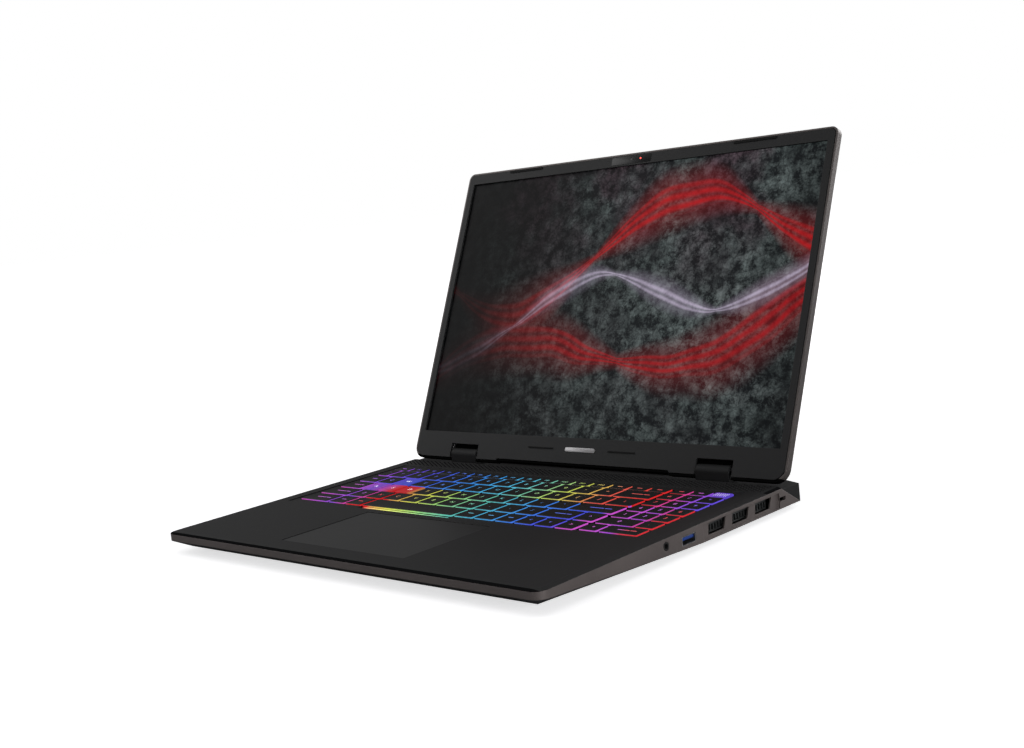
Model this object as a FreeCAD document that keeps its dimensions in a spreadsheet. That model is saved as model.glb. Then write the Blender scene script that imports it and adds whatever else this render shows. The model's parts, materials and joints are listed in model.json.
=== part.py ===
import FreeCAD, Part
import Sketcher
import math
import os
import re

os.makedirs("parts", exist_ok=True)
doc = FreeCAD.newDocument("laptop")

# Driving dimensions in millimetres and degrees. X is to the right, Y to the rear, Z up.
DIMENSIONS = [
    ("width", 359.0), ("frontY", -172.53), ("deckZ", 15.5), ("deckTilt", 0.5),
    ("deckLength", 234.3), ("cornerRadius", 8.0), ("plateLip", 1.2), ("plateCore", 1.0),
    ("rimWidth", 4.0), ("rimDrop", 1.0), ("lipInset", 2.6),
    ("wall", 2.4), ("underZ", 3.4), ("floorThick", 1.6), ("bandFrontZ", 9.8), ("bandFlatY", 145.0),
    ("seamTopY", 232.8), ("tailY", 253.8), ("noseChamferY", 11.5), ("sideChamferX", 14.0),
    ("rearY", 266.0), ("rearHalf", 150.0), ("housingY", 234.6), ("valleyZ", 15.3), ("barZ", 17.0),
    ("barY", 251.0), ("fieldHalf", 160.5), ("fieldFront", 101.5), ("fieldRear", 208.9),
    ("sunkenDepth", 0.6), ("sunkenHalf", 165.0), ("sunkenFront", 96.0), ("sunkenRear", 214.0),
    ("keyRoom", 0.8), ("keyPitch", 19.05), ("capGap", 2.6), ("capTaper", 0.42), ("capTop", 0.3),
    ("capBottom", -1.2), ("stemBottom", -3.6), ("stemWide", 5.0), ("stemDeep", 3.0), ("stemRoom", 0.3),
    ("plateTop", -2.2), ("plateFloor", -3.2), ("plateUnder", -4.0), ("sheetTop", -4.05),
    ("sheetUnder", -4.5),
    ("padLeft", -67.3), ("padRight", 53.1), ("padFront", 17.7), ("padRear", 91.6),
    ("padTop", -0.25), ("padUnder", -1.6), ("slideRoom", 0.3), ("ribDepth", 0.5), ("ribPitch", 5.0),
    ("ribCount", 65), ("ribWide", 1.8), ("ribHalf", 175.0), ("ribSlant", 24.0), ("ribFront", 217.5),
    ("rowFront", 104.0), ("padRowFront", 105.5),
    ("ribRear", 232.5), ("portY", 131.45), ("portZ", 9.2), ("jackY", 109.5), ("jackZ", 10.6),
    ("jackBore", 3.6), ("lockY", 233.4), ("ventFront", 152.4), ("ventPitch", 25.2), ("ventLow", 6.2),
    ("ventHigh", 13.3), ("ventRoom", 16.6), ("recessDepth", 1.2), ("hingeAlong", 242.59),
    ("hingeUp", 4.69), ("lidLean", 24.44), ("lidBack", -2.81), ("lidFace", 3.69), ("lidBottom", -5.45),
    ("lidTop", 242.59), ("lidSkin", 1.5), ("rimTop", 3.3), ("bezelHalf", 177.7), ("bezelTop", 241.0),
    ("bezelBottom", -3.6), ("bezelBack", 2.19), ("screenHalf", 172.35), ("screenBottom", 17.29),
    ("screenTop", 232.69), ("notchIn", 107.0), ("notchOut", 137.0), ("notchTop", 7.5), ("skinNotch", 5.1),
    ("coverIn", 107.5), ("coverOut", 135.0), ("coverRadius", 4.6), ("barrelRadius", 3.4),
    ("pinRadius", 1.1), ("pinFit", 0.05), ("fanX", 127.0), ("fanY", 181.0), ("fanRadius", 26.0),
    ("fanRoom", 1.0), ("fanZ", 5.2), ("fanHeight", 6.4), ("shaftRadius", 2.0), ("screwHead", 2.7),
    ("screwShank", 1.3), ("footFrontY", 27.0), ("footRearY", 236.0), ("footWide", 8.0),
]
sheet = doc.addObject("Spreadsheet::Sheet", "dims")
for line, (word, number) in enumerate(DIMENSIONS, start=1):
    sheet.set("A%d" % line, word)
    sheet.set("B%d" % line, str(number))
    sheet.setAlias("B%d" % line, word)
doc.recompute()
words = {word for word, number in DIMENSIONS}


def ex(text):
    """Name the sheet in front of every dimension word of an expression."""
    return re.sub(
        r"[A-Za-z_]\w*",
        lambda found: "dims." + found.group(0) if found.group(0) in words else found.group(0),
        text,
    )


def num(text):
    """Value of an expression now, for first positions and for picking edges."""
    value = sheet.evalExpression(ex(text))
    return float(getattr(value, "Value", value))


def bind(obj, **rules):
    for name, text in rules.items():
        obj.setExpression(name.replace("_", "."), ex(text))


def placeBase(obj):
    obj.setExpression("Placement.Base.y", ex("frontY"))


def placeDeck(obj):
    obj.Placement = FreeCAD.Placement(FreeCAD.Vector(), FreeCAD.Rotation(FreeCAD.Vector(1, 0, 0), 1))
    obj.setExpression("Placement.Base.y", ex("frontY"))
    obj.setExpression("Placement.Base.z", ex("deckZ"))
    obj.setExpression("Placement.Rotation.Angle", ex("deckTilt * 1 deg"))


def placeLid(obj):
    obj.Placement = FreeCAD.Placement(FreeCAD.Vector(), FreeCAD.Rotation(FreeCAD.Vector(1, 0, 0), 60))
    along = "hingeAlong * cos(deckTilt) - hingeUp * sin(deckTilt)"
    rise = "hingeAlong * sin(deckTilt) + hingeUp * cos(deckTilt)"
    obj.setExpression("Placement.Base.y", ex("frontY + " + along))
    obj.setExpression("Placement.Base.z", ex("deckZ + " + rise))
    obj.setExpression("Placement.Rotation.Angle", ex("(90 - lidLean) * 1 deg"))


frames = {"base": placeBase, "deck": placeDeck, "lid": placeLid}
pivotY = "(hingeAlong * cos(deckTilt) - hingeUp * sin(deckTilt))"
pivotZ = "(deckZ + hingeAlong * sin(deckTilt) + hingeUp * cos(deckTilt))"
parts = {}


def keep(name, obj, frame):
    """Register a sub-part under its node name and set it in one of the three frames."""
    if obj.TypeId != "PartDesign::Body":
        obj = together([obj])
    obj.Label = name
    frames[frame](obj)
    parts[name] = obj
    return obj


# sketches and features
def originPart(body, role):
    return [f for f in body.Origin.OriginFeatures if f.Role == role][0]


def newSketch(body, plane="XY_Plane", offset="0"):
    sketch = body.newObject("Sketcher::SketchObject", "outline")
    sketch.AttachmentSupport = [(originPart(body, plane), "")]
    sketch.MapMode = "FlatFace"
    sketch.setExpression("AttachmentOffset.Base.z", ex(offset))
    return sketch


def polygon(sketch, corners):
    """Closed outline whose corners are held by expressions."""
    first = sketch.GeometryCount
    points = [FreeCAD.Vector(num(a), num(b), 0) for a, b in corners]
    count = len(points)
    for i in range(count):
        sketch.addGeometry(Part.LineSegment(points[i], points[(i + 1) % count]), False)
    rules = []
    for i in range(count):
        sketch.addConstraint(Sketcher.Constraint("Coincident", first + i, 2, first + (i + 1) % count, 1))
    for i, (a, b) in enumerate(corners):
        for kind, text, value in (("DistanceX", a, points[i].x), ("DistanceY", b, points[i].y)):
            index = sketch.addConstraint(Sketcher.Constraint(kind, -1, 1, first + i, 1, value))
            rules.append((index, text))
    for index, text in rules:
        sketch.setExpression("Constraints[%d]" % index, ex(text))


def rectangle(sketch, x0, x1, y0, y1):
    polygon(sketch, [(x0, y0), (x1, y0), (x1, y1), (x0, y1)])


def circle(sketch, x, y, radius):
    first = sketch.GeometryCount
    centre = FreeCAD.Vector(num(x), num(y), 0)
    sketch.addGeometry(Part.Circle(centre, FreeCAD.Vector(0, 0, 1), num(radius)), False)
    rules = [("DistanceX", x, centre.x), ("DistanceY", y, centre.y)]
    for kind, text, value in rules:
        index = sketch.addConstraint(Sketcher.Constraint(kind, -1, 1, first, 3, value))
        sketch.setExpression("Constraints[%d]" % index, ex(text))
    index = sketch.addConstraint(Sketcher.Constraint("Radius", first, num(radius)))
    sketch.setExpression("Constraints[%d]" % index, ex(radius))


def pad(body, sketch, length, side="One side", back=False):
    feature = body.newObject("PartDesign::Pad", "pad")
    feature.Profile = sketch
    feature.SideType = side
    feature.Reversed = back
    feature.setExpression("Length", ex(length))
    return feature


def pocket(body, sketch, length=None, side="One side", back=False):
    feature = body.newObject("PartDesign::Pocket", "pocket")
    feature.Profile = sketch
    feature.SideType = side
    feature.Reversed = back
    if length is None:
        feature.Type = "ThroughAll"
    else:
        feature.setExpression("Length", ex(length))
    return feature


def edgesWhere(body, test):
    """Names of the body's edges whose middle point and direction pass a test."""
    doc.recompute()
    names = []
    for i, edge in enumerate(body.Tip.Shape.Edges, start=1):
        middle = edge.valueAt((edge.FirstParameter + edge.LastParameter) / 2)
        if test(edge, middle):
            names.append("Edge%d" % i)
    return names


def upright(edge):
    return edge.BoundBox.XLength < 0.01 and edge.BoundBox.YLength < 0.01


def fillet(body, test, radius):
    names = edgesWhere(body, test)
    base = body.Tip
    feature = body.newObject("PartDesign::Fillet", "fillet")
    feature.Base = (base, names)
    feature.setExpression("Radius", ex(radius))
    body.Tip = feature
    return feature


def chamfer(body, test, size, other=None, flip=False):
    names = edgesWhere(body, test)
    base = body.Tip
    feature = body.newObject("PartDesign::Chamfer", "chamfer")
    feature.Base = (base, names)
    if other is not None:
        feature.ChamferType = "Two distances"
        feature.setExpression("Size2", ex(other))
        feature.FlipDirection = flip
    feature.setExpression("Size", ex(size))
    body.Tip = feature
    return feature


def linearRow(body, features, axis, length, count):
    pattern = body.newObject("PartDesign::LinearPattern", "row")
    pattern.Originals = features
    pattern.Direction = (originPart(body, axis), [""])
    pattern.setExpression("Length", ex(length))
    pattern.setExpression("Occurrences", ex(count))
    body.Tip = pattern
    return pattern


def polarRow(body, features, count):
    pattern = body.newObject("PartDesign::PolarPattern", "ring")
    pattern.Originals = features
    pattern.Axis = (originPart(body, "Z_Axis"), [""])
    pattern.Angle = 360
    pattern.Occurrences = count
    body.Tip = pattern
    return pattern


def mirrored(body, features):
    pattern = body.newObject("PartDesign::Mirrored", "mirror")
    pattern.Originals = features
    pattern.MirrorPlane = (originPart(body, "YZ_Plane"), [""])
    body.Tip = pattern
    return pattern


def newBody(name, frame):
    body = doc.addObject("PartDesign::Body", name)
    return keep(name, body, frame)


# solids made from primitives
def box(x0, x1, y0, y1, z0, z1):
    solid = doc.addObject("Part::Box", "block")
    bind(solid, Length="(%s) - (%s)" % (x1, x0), Width="(%s) - (%s)" % (y1, y0))
    bind(solid, Height="(%s) - (%s)" % (z1, z0))
    bind(solid, Placement_Base_x=x0, Placement_Base_y=y0, Placement_Base_z=z0)
    return solid


def cylinder(radius, height, x, y, z, axis=None):
    solid = doc.addObject("Part::Cylinder", "round")
    if axis == "x":
        solid.Placement.Rotation = FreeCAD.Rotation(FreeCAD.Vector(0, 1, 0), 90)
    if axis == "y":
        solid.Placement.Rotation = FreeCAD.Rotation(FreeCAD.Vector(1, 0, 0), -90)
    bind(solid, Radius=radius, Height=height)
    bind(solid, Placement_Base_x=x, Placement_Base_y=y, Placement_Base_z=z)
    return solid


def fuse(solids):
    joined = doc.addObject("Part::MultiFuse", "joined")
    joined.Shapes = solids
    return joined


def cut(base, tool):
    result = doc.addObject("Part::Cut", "trimmed")
    result.Base = base
    result.Tool = tool
    return result


def together(solids):
    group = doc.addObject("Part::Compound", "group")
    group.Links = solids
    return group


half = "width / 2"
lipZ = "(deckZ - plateLip / cos(deckTilt))"

# top case: the deck with its bevelled rim, sunken keyboard field and ribbed strip
topCase = newBody("top_case", "deck")
sk = newSketch(topCase, offset="-plateLip")
rectangle(sk, "-" + half, half, "0", "deckLength")
pad(topCase, sk, "plateLip")
fillet(topCase, lambda e, m: upright(e) and m.y < 1, "cornerRadius")
sk = newSketch(topCase, offset="-plateLip - plateCore")
rectangle(sk, "-%s + lipInset" % half, half + " - lipInset", "lipInset", "deckLength")
pad(topCase, sk, "plateCore")
fillet(topCase, lambda e, m: upright(e) and m.y < 10 and m.z < -1.21, "cornerRadius - lipInset")
chamfer(
    topCase,
    lambda e, m: abs(e.BoundBox.ZMin) < 0.01 and abs(e.BoundBox.ZMax) < 0.01
    and m.y < num("deckLength") - 1,
    "rimDrop", "rimWidth",
)
sk = newSketch(topCase)
rectangle(sk, "-sunkenHalf", "sunkenHalf", "sunkenFront", "sunkenRear")
pocket(topCase, sk, "sunkenDepth")
sk = newSketch(topCase)
polygon(sk, [
    ("-fieldHalf - keyRoom", "rowFront"), ("-89", "rowFront"), ("-89", "fieldFront - 1.3"),
    ("5", "fieldFront - 1.3"), ("5", "rowFront"), ("111.6", "rowFront"), ("111.6", "padRowFront"),
    ("fieldHalf + keyRoom", "padRowFront"), ("fieldHalf + keyRoom", "fieldRear"),
    ("-fieldHalf - keyRoom", "fieldRear"),
])
pocket(topCase, sk)
sk = newSketch(topCase)
rectangle(sk, "padLeft - slideRoom", "padRight + slideRoom", "padFront - slideRoom", "padRear + slideRoom")
pocket(topCase, sk)
sk = newSketch(topCase)
polygon(sk, [
    ("-ribHalf", "ribRear"), ("ribWide - ribHalf", "ribRear"),
    ("ribSlant + ribWide - ribHalf", "ribFront"), ("ribSlant - ribHalf", "ribFront"),
])
groove = pocket(topCase, sk, "ribDepth")
linearRow(topCase, [groove], "X_Axis", "(ribCount - 1) * ribPitch", "ribCount")
sk = newSketch(topCase)
for step in range(5):
    start = "ribCount * ribPitch - ribHalf + %d * ribPitch" % step
    share = 1 - (0.8 + 5 * step) / 24
    ahead = "ribRear - %.3f * (ribRear - ribFront)" % share
    across = "%s + %.3f * ribSlant" % (start, share)
    polygon(sk, [
        (start, "ribRear"), (start + " + ribWide", "ribRear"),
        (across + " + ribWide", ahead), (across, ahead),
    ])
for step in range(1, 5):
    begin = "ribRear - (%d * ribPitch - ribWide) / ribSlant * (ribRear - ribFront)" % step
    end = "ribRear - %d * ribPitch / ribSlant * (ribRear - ribFront)" % step
    across = "ribSlant - ribHalf - %d * ribPitch" % step
    polygon(sk, [
        ("-ribHalf", begin), ("-ribHalf", end),
        (across, "ribFront"), (across + " + ribWide", "ribFront"),
    ])
pocket(topCase, sk, "ribDepth")

# side frame: the metal-coloured band round the front and both sides
sideFrame = newBody("side_frame", "base")
sk = newSketch(sideFrame, "YZ_Plane")
polygon(sk, [
    ("0", "bandFrontZ"), ("bandFlatY", "underZ"), ("tailY", "underZ"),
    ("seamTopY", lipZ + " + seamTopY * tan(deckTilt)"), ("0", lipZ),
])
pad(sideFrame, sk, "width", "Symmetric")
fillet(sideFrame, lambda e, m: upright(e) and m.y < 1, "cornerRadius")
sk = newSketch(sideFrame, offset="0")
rectangle(sk, "-%s + wall" % half, half + " - wall", "wall", "rearY + 10")
pocket(sideFrame, sk, back=True)
fillet(sideFrame, lambda e, m: upright(e) and abs(m.y - num("wall")) < 0.1, "cornerRadius - wall")
for sign in ("", "-"):
    flip = sign == "-"
    sk = newSketch(sideFrame, "YZ_Plane", sign + "(%s)" % half)
    rectangle(sk, "146", "229.8", "underZ + 0.7", "ventHigh + 0.9")
    pocket(sideFrame, sk, "recessDepth", back=flip)
    for slot in range(3):
        start = "ventFront + %d * ventPitch" % slot
        sk = newSketch(sideFrame, "YZ_Plane", sign + "(%s)" % half)
        polygon(sk, [
            (start, "ventLow"), (start + " + ventRoom", "ventLow"),
            (start + " + ventRoom + 3", "ventHigh"), (start + " + 1", "ventHigh"),
        ])
        pocket(sideFrame, sk, "wall + 1", back=flip)
for sign, along in (("", "portY"), ("-", "portY"), ("-", "portY - 22")):
    sk = newSketch(sideFrame, "YZ_Plane", sign + half)
    rectangle(sk, along + " - 6.85", along + " + 6.85", "portZ - 2.85", "portZ + 2.85")
    pocket(sideFrame, sk, "wall + 1", back=(sign == "-"))
sk = newSketch(sideFrame, "YZ_Plane", half)
circle(sk, "jackY", "jackZ", "2.8")
pocket(sideFrame, sk, "wall + 1")
sk = newSketch(sideFrame, "YZ_Plane", half)
rectangle(sk, "lockY - 3.5", "lockY + 3.5", "8.3", "10.9")
pocket(sideFrame, sk, "wall + 1")

# bottom cover
slope = "(bandFrontZ - underZ) / bandFlatY"
cover = newBody("bottom_cover", "base")
sk = newSketch(cover, offset="underZ")
rectangle(sk, "-" + half, half, "0", "bandFlatY")
pad(cover, sk, "bandFrontZ - underZ")
fillet(cover, lambda e, m: upright(e) and m.y < 1, "cornerRadius")
sk = newSketch(cover, "YZ_Plane")
polygon(sk, [
    ("-2", "bandFrontZ + 2 * " + slope), ("bandFlatY + 2", "underZ - 2 * " + slope),
    ("bandFlatY + 2", "bandFrontZ + 5"), ("-2", "bandFrontZ + 5"),
])
pocket(cover, sk, "width + 4", "Symmetric")
sk = newSketch(cover, offset="bandFrontZ + 5")
rectangle(sk, "-160.5", "160.5", "14", "bandFlatY + 5")
pocket(cover, sk, "bandFrontZ + 5 - underZ - floorThick")
sk = newSketch(cover, offset="underZ")
inside = half + " - wall - 0.1"
polygon(sk, [
    ("-(%s)" % inside, "10"), (inside, "10"), (inside, "tailY - 1.9"),
    ("rearHalf - 1", "rearY - wall - 0.1"), ("1 - rearHalf", "rearY - wall - 0.1"),
    ("-(%s)" % inside, "tailY - 1.9"),
])
pad(cover, sk, "floorThick")
sk = newSketch(cover, "YZ_Plane")
noseSlope = "(bandFrontZ - underZ) / noseChamferY"
polygon(sk, [
    ("-2", "bandFrontZ + 2 * " + noseSlope), ("noseChamferY + 1", "underZ - " + noseSlope),
    ("-2", "underZ - " + noseSlope),
])
pocket(cover, sk, "width + 4", "Symmetric")
sideSlope = "(bandFrontZ - underZ) / sideChamferX"
profiles = []
for along, level in (("-1", "bandFrontZ + " + slope), ("bandFlatY + 1", "underZ - " + slope)):
    sk = newSketch(cover, "XZ_Plane", "-(%s)" % along)
    polygon(sk, [
        (half + " - (%s - underZ + 1) / (%s)" % (level, sideSlope), "underZ - 1"),
        (half + " + 2", "underZ - 1"), (half + " + 2", "%s + 2 * (%s)" % (level, sideSlope)),
    ])
    profiles.append(sk)
bevel = cover.newObject("PartDesign::SubtractiveLoft", "bevel")
bevel.Profile = profiles[0]
bevel.Sections = [profiles[1]]
bevel.Ruled = True
mirrored(cover, [bevel])
screwSpots = [(-150, 20), (0, 20), (150, 20), (-150, 128), (150, 128), (-100, 225), (0, 225), (100, 225)]
sk = newSketch(cover, offset="underZ")
for x, y in screwSpots:
    circle(sk, str(x), str(y), "screwHead + 0.2")
pocket(cover, sk, "0.9", back=True)
sk = newSketch(cover, offset="underZ")
for x, y in screwSpots:
    circle(sk, str(x), str(y), "screwShank + 0.1")
pocket(cover, sk, "floorThick + 6", back=True)
sk = newSketch(cover, offset="underZ")
rectangle(sk, "-150", "-146.5", "fanY - 22", "fanY + 22")
intake = pocket(cover, sk, "floorThick", back=True)
linearRow(cover, [intake], "X_Axis", "42", "7")
mirrorIntake = newSketch(cover, offset="underZ")
rectangle(mirrorIntake, "108", "111.5", "fanY - 22", "fanY + 22")
intake = pocket(cover, mirrorIntake, "floorThick", back=True)
linearRow(cover, [intake], "X_Axis", "42", "7")

# rear housing: the black block behind the hinge line
rear = newBody("rear_housing", "base")
sk = newSketch(rear, offset="underZ")
polygon(sk, [
    ("-" + half, "housingY"), (half, "housingY"), (half, "tailY"), ("rearHalf", "rearY"),
    ("-rearHalf", "rearY"), ("-" + half, "tailY"),
])
pad(rear, sk, "valleyZ - underZ")
sk = newSketch(rear, offset="valleyZ")
polygon(sk, [
    ("-162", "barY"), ("162", "barY"), ("154", "rearY - 1.6"), ("rearHalf", "rearY"),
    ("-rearHalf", "rearY"), ("-154", "rearY - 1.6"),
])
pad(rear, sk, "barZ - valleyZ")
sk = newSketch(rear, offset="underZ")
polygon(sk, [
    ("-(%s) + wall" % half, "housingY - 2"), (half + " - wall", "housingY - 2"),
    (half + " - wall", "tailY - 1.8"), ("rearHalf - 0.9", "rearY - wall"),
    ("0.9 - rearHalf", "rearY - wall"), ("-(%s) + wall" % half, "tailY - 1.8"),
])
pocket(rear, sk, "valleyZ - 1.8 - underZ", back=True)
sk = newSketch(rear, "YZ_Plane")
seam = "(%s + seamTopY * tan(deckTilt) - underZ) / (tailY - seamTopY)" % lipZ
polygon(sk, [
    ("seamTopY - 1", "underZ + (tailY - seamTopY + 1) * " + seam), ("tailY + 1", "underZ - " + seam),
    ("seamTopY - 1", "underZ - " + seam),
])
pocket(rear, sk, "width + 4", "Symmetric")
sk = newSketch(rear, "XZ_Plane", "-rearY")
rectangle(sk, "-146", "-142", "6.2", "12.6")
rectangle(sk, "74", "78", "6.2", "12.6")
exhaust = pocket(rear, sk, "wall + 0.6", back=True)
linearRow(rear, [exhaust], "X_Axis", "66", "12")
sk = newSketch(rear, "XZ_Plane", "-rearY")
rectangle(sk, "-55.8", "-44.2", "5.4", "12")
rectangle(sk, "-17.8", "-2.2", "5.7", "11.5")
rectangle(sk, "20.3", "29.7", "6.9", "10.5")
rectangle(sk, "40.3", "49.7", "6.9", "10.5")
pocket(rear, sk, "wall + 0.6", back=True)
sk = newSketch(rear, offset="valleyZ + 5")
rectangle(sk, "111.2", "132.8", "%s - 3.7" % pivotY, "%s - 0.3" % pivotY)
rectangle(sk, "-132.8", "-111.2", "%s - 3.7" % pivotY, "%s - 0.3" % pivotY)
pocket(rear, sk, "9")

# keyboard: keys, support plate and light sheet
# Each row: centre, depth, start, widths in units of the main pitch.
rows = {
    "function": (203.1, 9.6, 0.0, [0.8987] * 16),
    "number": (189.1, 16.45, 0.0, [0.6457] + [1.0] * 12 + [1.7323]),
    "letter": (170.05, 16.45, 0.0, [1.115] + [1.0] * 12 + [1.263]),
    "home": (151.0, 16.45, 0.0, [1.3123] + [1.0] * 11 + [2.0656]),
    "shift": (131.95, 16.45, 0.0, [1.7323] + [1.0] * 10 + [1.6457, 1.0]),
    "bottom": (112.9, 16.45, 0.0, [1.7323, 1.0, 1.0, 5.0, 1.0, 1.0] + [0.9113] * 4),
}
padColumn = 15.9
padPitch = 15.44
padLeftX = 113.75
groups = {name: [] for name in (
    "keys_function_row", "keys_number_row", "keys_letter_row", "keys_home_row", "keys_shift_row",
    "keys_bottom_row", "keys_number_pad", "key_w", "key_a", "key_s", "key_d", "key_space",
    "key_enter", "key_backspace", "key_power",
)}
special = {
    ("letter", 2): "key_w", ("home", 1): "key_a", ("home", 2): "key_s", ("home", 3): "key_d",
    ("bottom", 3): "key_space", ("home", 12): "key_enter", ("number", 13): "key_backspace",
}
holes = []


def keyCap(left, right, centre, depth):
    """Tapered cap with its stem; left and right are expressions, centre and depth numbers."""
    wide = "(%s) - (%s)" % (right, left)
    cap = doc.addObject("Part::Wedge", "cap")
    cap.Placement.Rotation = FreeCAD.Rotation(FreeCAD.Vector(1, 0, 0), 90)
    bind(cap, Xmin="0", Xmax=wide, X2min="capTaper", X2max=wide + " - capTaper")
    bind(cap, Zmin=str(-depth / 2), Zmax=str(depth / 2))
    bind(cap, Z2min="%s + capTaper" % (-depth / 2), Z2max="%s - capTaper" % (depth / 2))
    bind(cap, Ymin="0", Ymax="capTop - capBottom")
    bind(cap, Placement_Base_x=left, Placement_Base_y=str(centre), Placement_Base_z="capBottom")
    middle = "((%s) + (%s)) / 2" % (left, right)
    spots = [middle]
    if num(wide) > 60:
        spots = [middle + " - 30", middle + " + 30"]
    solids = [cap]
    for spot in spots:
        sides = (spot + " - stemWide / 2", spot + " + stemWide / 2")
        deep = ("%s - stemDeep / 2" % centre, "%s + stemDeep / 2" % centre)
        solids.append(box(sides[0], sides[1], deep[0], deep[1], "stemBottom", "capBottom"))
        room = (sides[0] + " - stemRoom", sides[1] + " + stemRoom")
        depthRoom = (deep[0] + " - stemRoom", deep[1] + " + stemRoom")
        holes.append(box(room[0], room[1], depthRoom[0], depthRoom[1], "sheetUnder - 1", "plateTop + 1"))
    return fuse(solids)


for row, (centre, depth, start, widths) in rows.items():
    place = start
    for index, units in enumerate(widths):
        left = "-fieldHalf + %.4f * keyPitch" % place
        right = "-fieldHalf + %.4f * keyPitch - capGap" % (place + units)
        group = special.get((row, index), "keys_%s_row" % row)
        groups[group].append(keyCap(left, right, centre, depth))
        place += units
for column in range(3):
    left = "%.3f + 1.2" % (padLeftX + column * padColumn)
    right = "%.3f - 1.2" % (padLeftX + (column + 1) * padColumn)
    group = "key_power" if column == 2 else "keys_function_row"
    groups[group].append(keyCap(left, right, 203.1, 9.6))
    for level in range(6):
        centre = 190.0 - level * padPitch
        first, last = column, column + 1
        if (level, column) in ((4, 1), (5, 2)):
            continue
        if (level, column) in ((4, 0), (5, 1)):
            last = column + 2
        left = "%.3f + 1.2" % (padLeftX + first * padColumn)
        right = "%.3f - 1.2" % (padLeftX + last * padColumn)
        groups["keys_number_pad"].append(keyCap(left, right, centre, 13.2))
for name, caps in groups.items():
    keep(name, together(caps), "deck")

stemHoles = together(holes)
plate = cut(
    box("-163.6", "163.6", "sunkenFront - 1.5", "sunkenRear + 1.5", "plateUnder", "plateTop"),
    box(
        "-fieldHalf - 1.5", "fieldHalf + 1.5", "fieldFront - 1.5", "fieldRear + 1.5",
        "plateFloor", "plateTop + 1",
    ),
)
keep("keyboard_plate", cut(plate, stemHoles), "deck")
lightSheet = box("-162", "162", "fieldFront - 1.5", "fieldRear + 1.5", "sheetUnder", "sheetTop")
keep("keyboard_backlight", cut(lightSheet, stemHoles), "deck")

# touchpad and its board
touchpad = newBody("touchpad", "deck")
sk = newSketch(touchpad, offset="padUnder")
rectangle(sk, "padLeft", "padRight", "padFront", "padRear")
pad(touchpad, sk, "padTop - padUnder")
fillet(touchpad, lambda e, m: upright(e), "1.2")
chamfer(touchpad, lambda e, m: e.BoundBox.ZMin > num("padTop") - 0.01, "0.3")
board = newBody("touchpad_board", "deck")
sk = newSketch(board, offset="plateTop - 1.4")
rectangle(sk, "padLeft - 6", "padRight + 6", "padFront - 5", "padRear + 2.4")
pad(board, sk, "1.4")
sk = newSketch(board, offset="plateTop")
rectangle(sk, "padLeft - slideRoom", "padRight + slideRoom", "padFront - slideRoom", "padRear + slideRoom")
pocket(board, sk, "0.6")
sk = newSketch(board, offset="plateTop - 0.6")
circle(sk, "(padLeft + padRight) / 2", "padFront + 14", "4")
pad(board, sk, "0.5")

# electronics inside the base
floorZ = "(underZ + floorThick)"
mother = newBody("motherboard", "base")
sk = newSketch(mother, offset="6.8")
polygon(sk, [
    ("-92", "98"), ("92", "98"), ("92", "120"), ("160", "120"), ("160", "142"), ("92", "142"),
    ("92", "214"), ("62", "236"), ("62", "250"), ("-62", "250"), ("-62", "236"), ("-92", "214"),
    ("-92", "142"), ("-160", "142"), ("-160", "106"), ("-92", "106"),
])
pad(mother, sk, "1.2")
sk = newSketch(mother, offset="6.8")
for x, y in ((-80, 104), (80, 104), (-54, 240), (54, 240), (-120, 112), (120, 136)):
    circle(sk, str(x), str(y), "2.6")
pad(mother, sk, "6.8 - " + floorZ, back=True)
keep("processor", fuse([
    box("-46", "-14", "174", "204", "8.0", "8.8"), box("-38", "-22", "182", "196", "8.8", "9.4"),
]), "base")
keep("graphics_chip", fuse([
    box("14", "48", "172", "206", "8.0", "8.8"), box("22", "40", "180", "198", "8.8", "9.4"),
]), "base")


def thickLine(points, wide):
    """Corners of a band of constant width along a line of points."""
    left, right = [], []
    for i, (x, y) in enumerate(points):
        before = points[max(i - 1, 0)]
        after = points[min(i + 1, len(points) - 1)]
        turns = []
        for a, b in ((before, (x, y)), ((x, y), after)):
            length = math.hypot(b[0] - a[0], b[1] - a[1])
            if length > 0:
                turns.append((-(b[1] - a[1]) / length, (b[0] - a[0]) / length))
        nx = sum(n[0] for n in turns) / len(turns)
        ny = sum(n[1] for n in turns) / len(turns)
        scale = wide / 2 / (nx * nx + ny * ny)
        left.append((str(x + nx * scale), str(y + ny * scale)))
        right.append((str(x - nx * scale), str(y - ny * scale)))
    return left + right[::-1]


pipes = newBody("heat_pipes", "base")
runs = [
    (-148, 248.0), (-76, 248.0), (-58, 232), (-50, 189),
    (50, 189), (58, 232), (76, 248.0), (148, 248.0),
]
sk = newSketch(pipes, offset="9.4")
polygon(sk, thickLine(runs, 8.0))
pad(pipes, sk, "2.4")
keep("rear_fins", together([
    cut(
        box(low, high, "252.0", "262.8", floorZ + " + 0.2", "12.6"),
        together([
            box("%.2f" % x, "%.2f" % (x + 2.0), "251", "264", floorZ + " + 1.0", "11.8")
            for x in [start + 2.8 * i for i in range(26)]
        ]),
    )
    for low, high, start in (("74", "148", 75.0), ("-148", "-74", -147.4))
]), "base")
keep("side_fins", together([
    cut(
        box(low, high, "152.4", "219.4", "6.4", "12.0"),
        together([box(cutLow, cutHigh, "%.2f" % y, "%.2f" % (y + 2.2), "7.2", "11.2")
                  for y in [153.4 + 3.0 * i for i in range(22)]]),
    )
    for low, high, cutLow, cutHigh in (("163", "175.5", "162", "177"), ("-175.5", "-163", "-177", "-162"))
]), "base")
keep("battery_pack", together([
    box("%d" % x, "%d" % (x + 66), "20", "90", floorZ, floorZ + " + 5.6") for x in (-136, -68, 2, 70)
]), "base")
keep("ssd_module", fuse([
    box("-86", "-6", "104", "126", "8.0", "9.2"), box("-70", "-12", "106", "124", "9.2", "10.4"),
]), "base")
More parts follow.
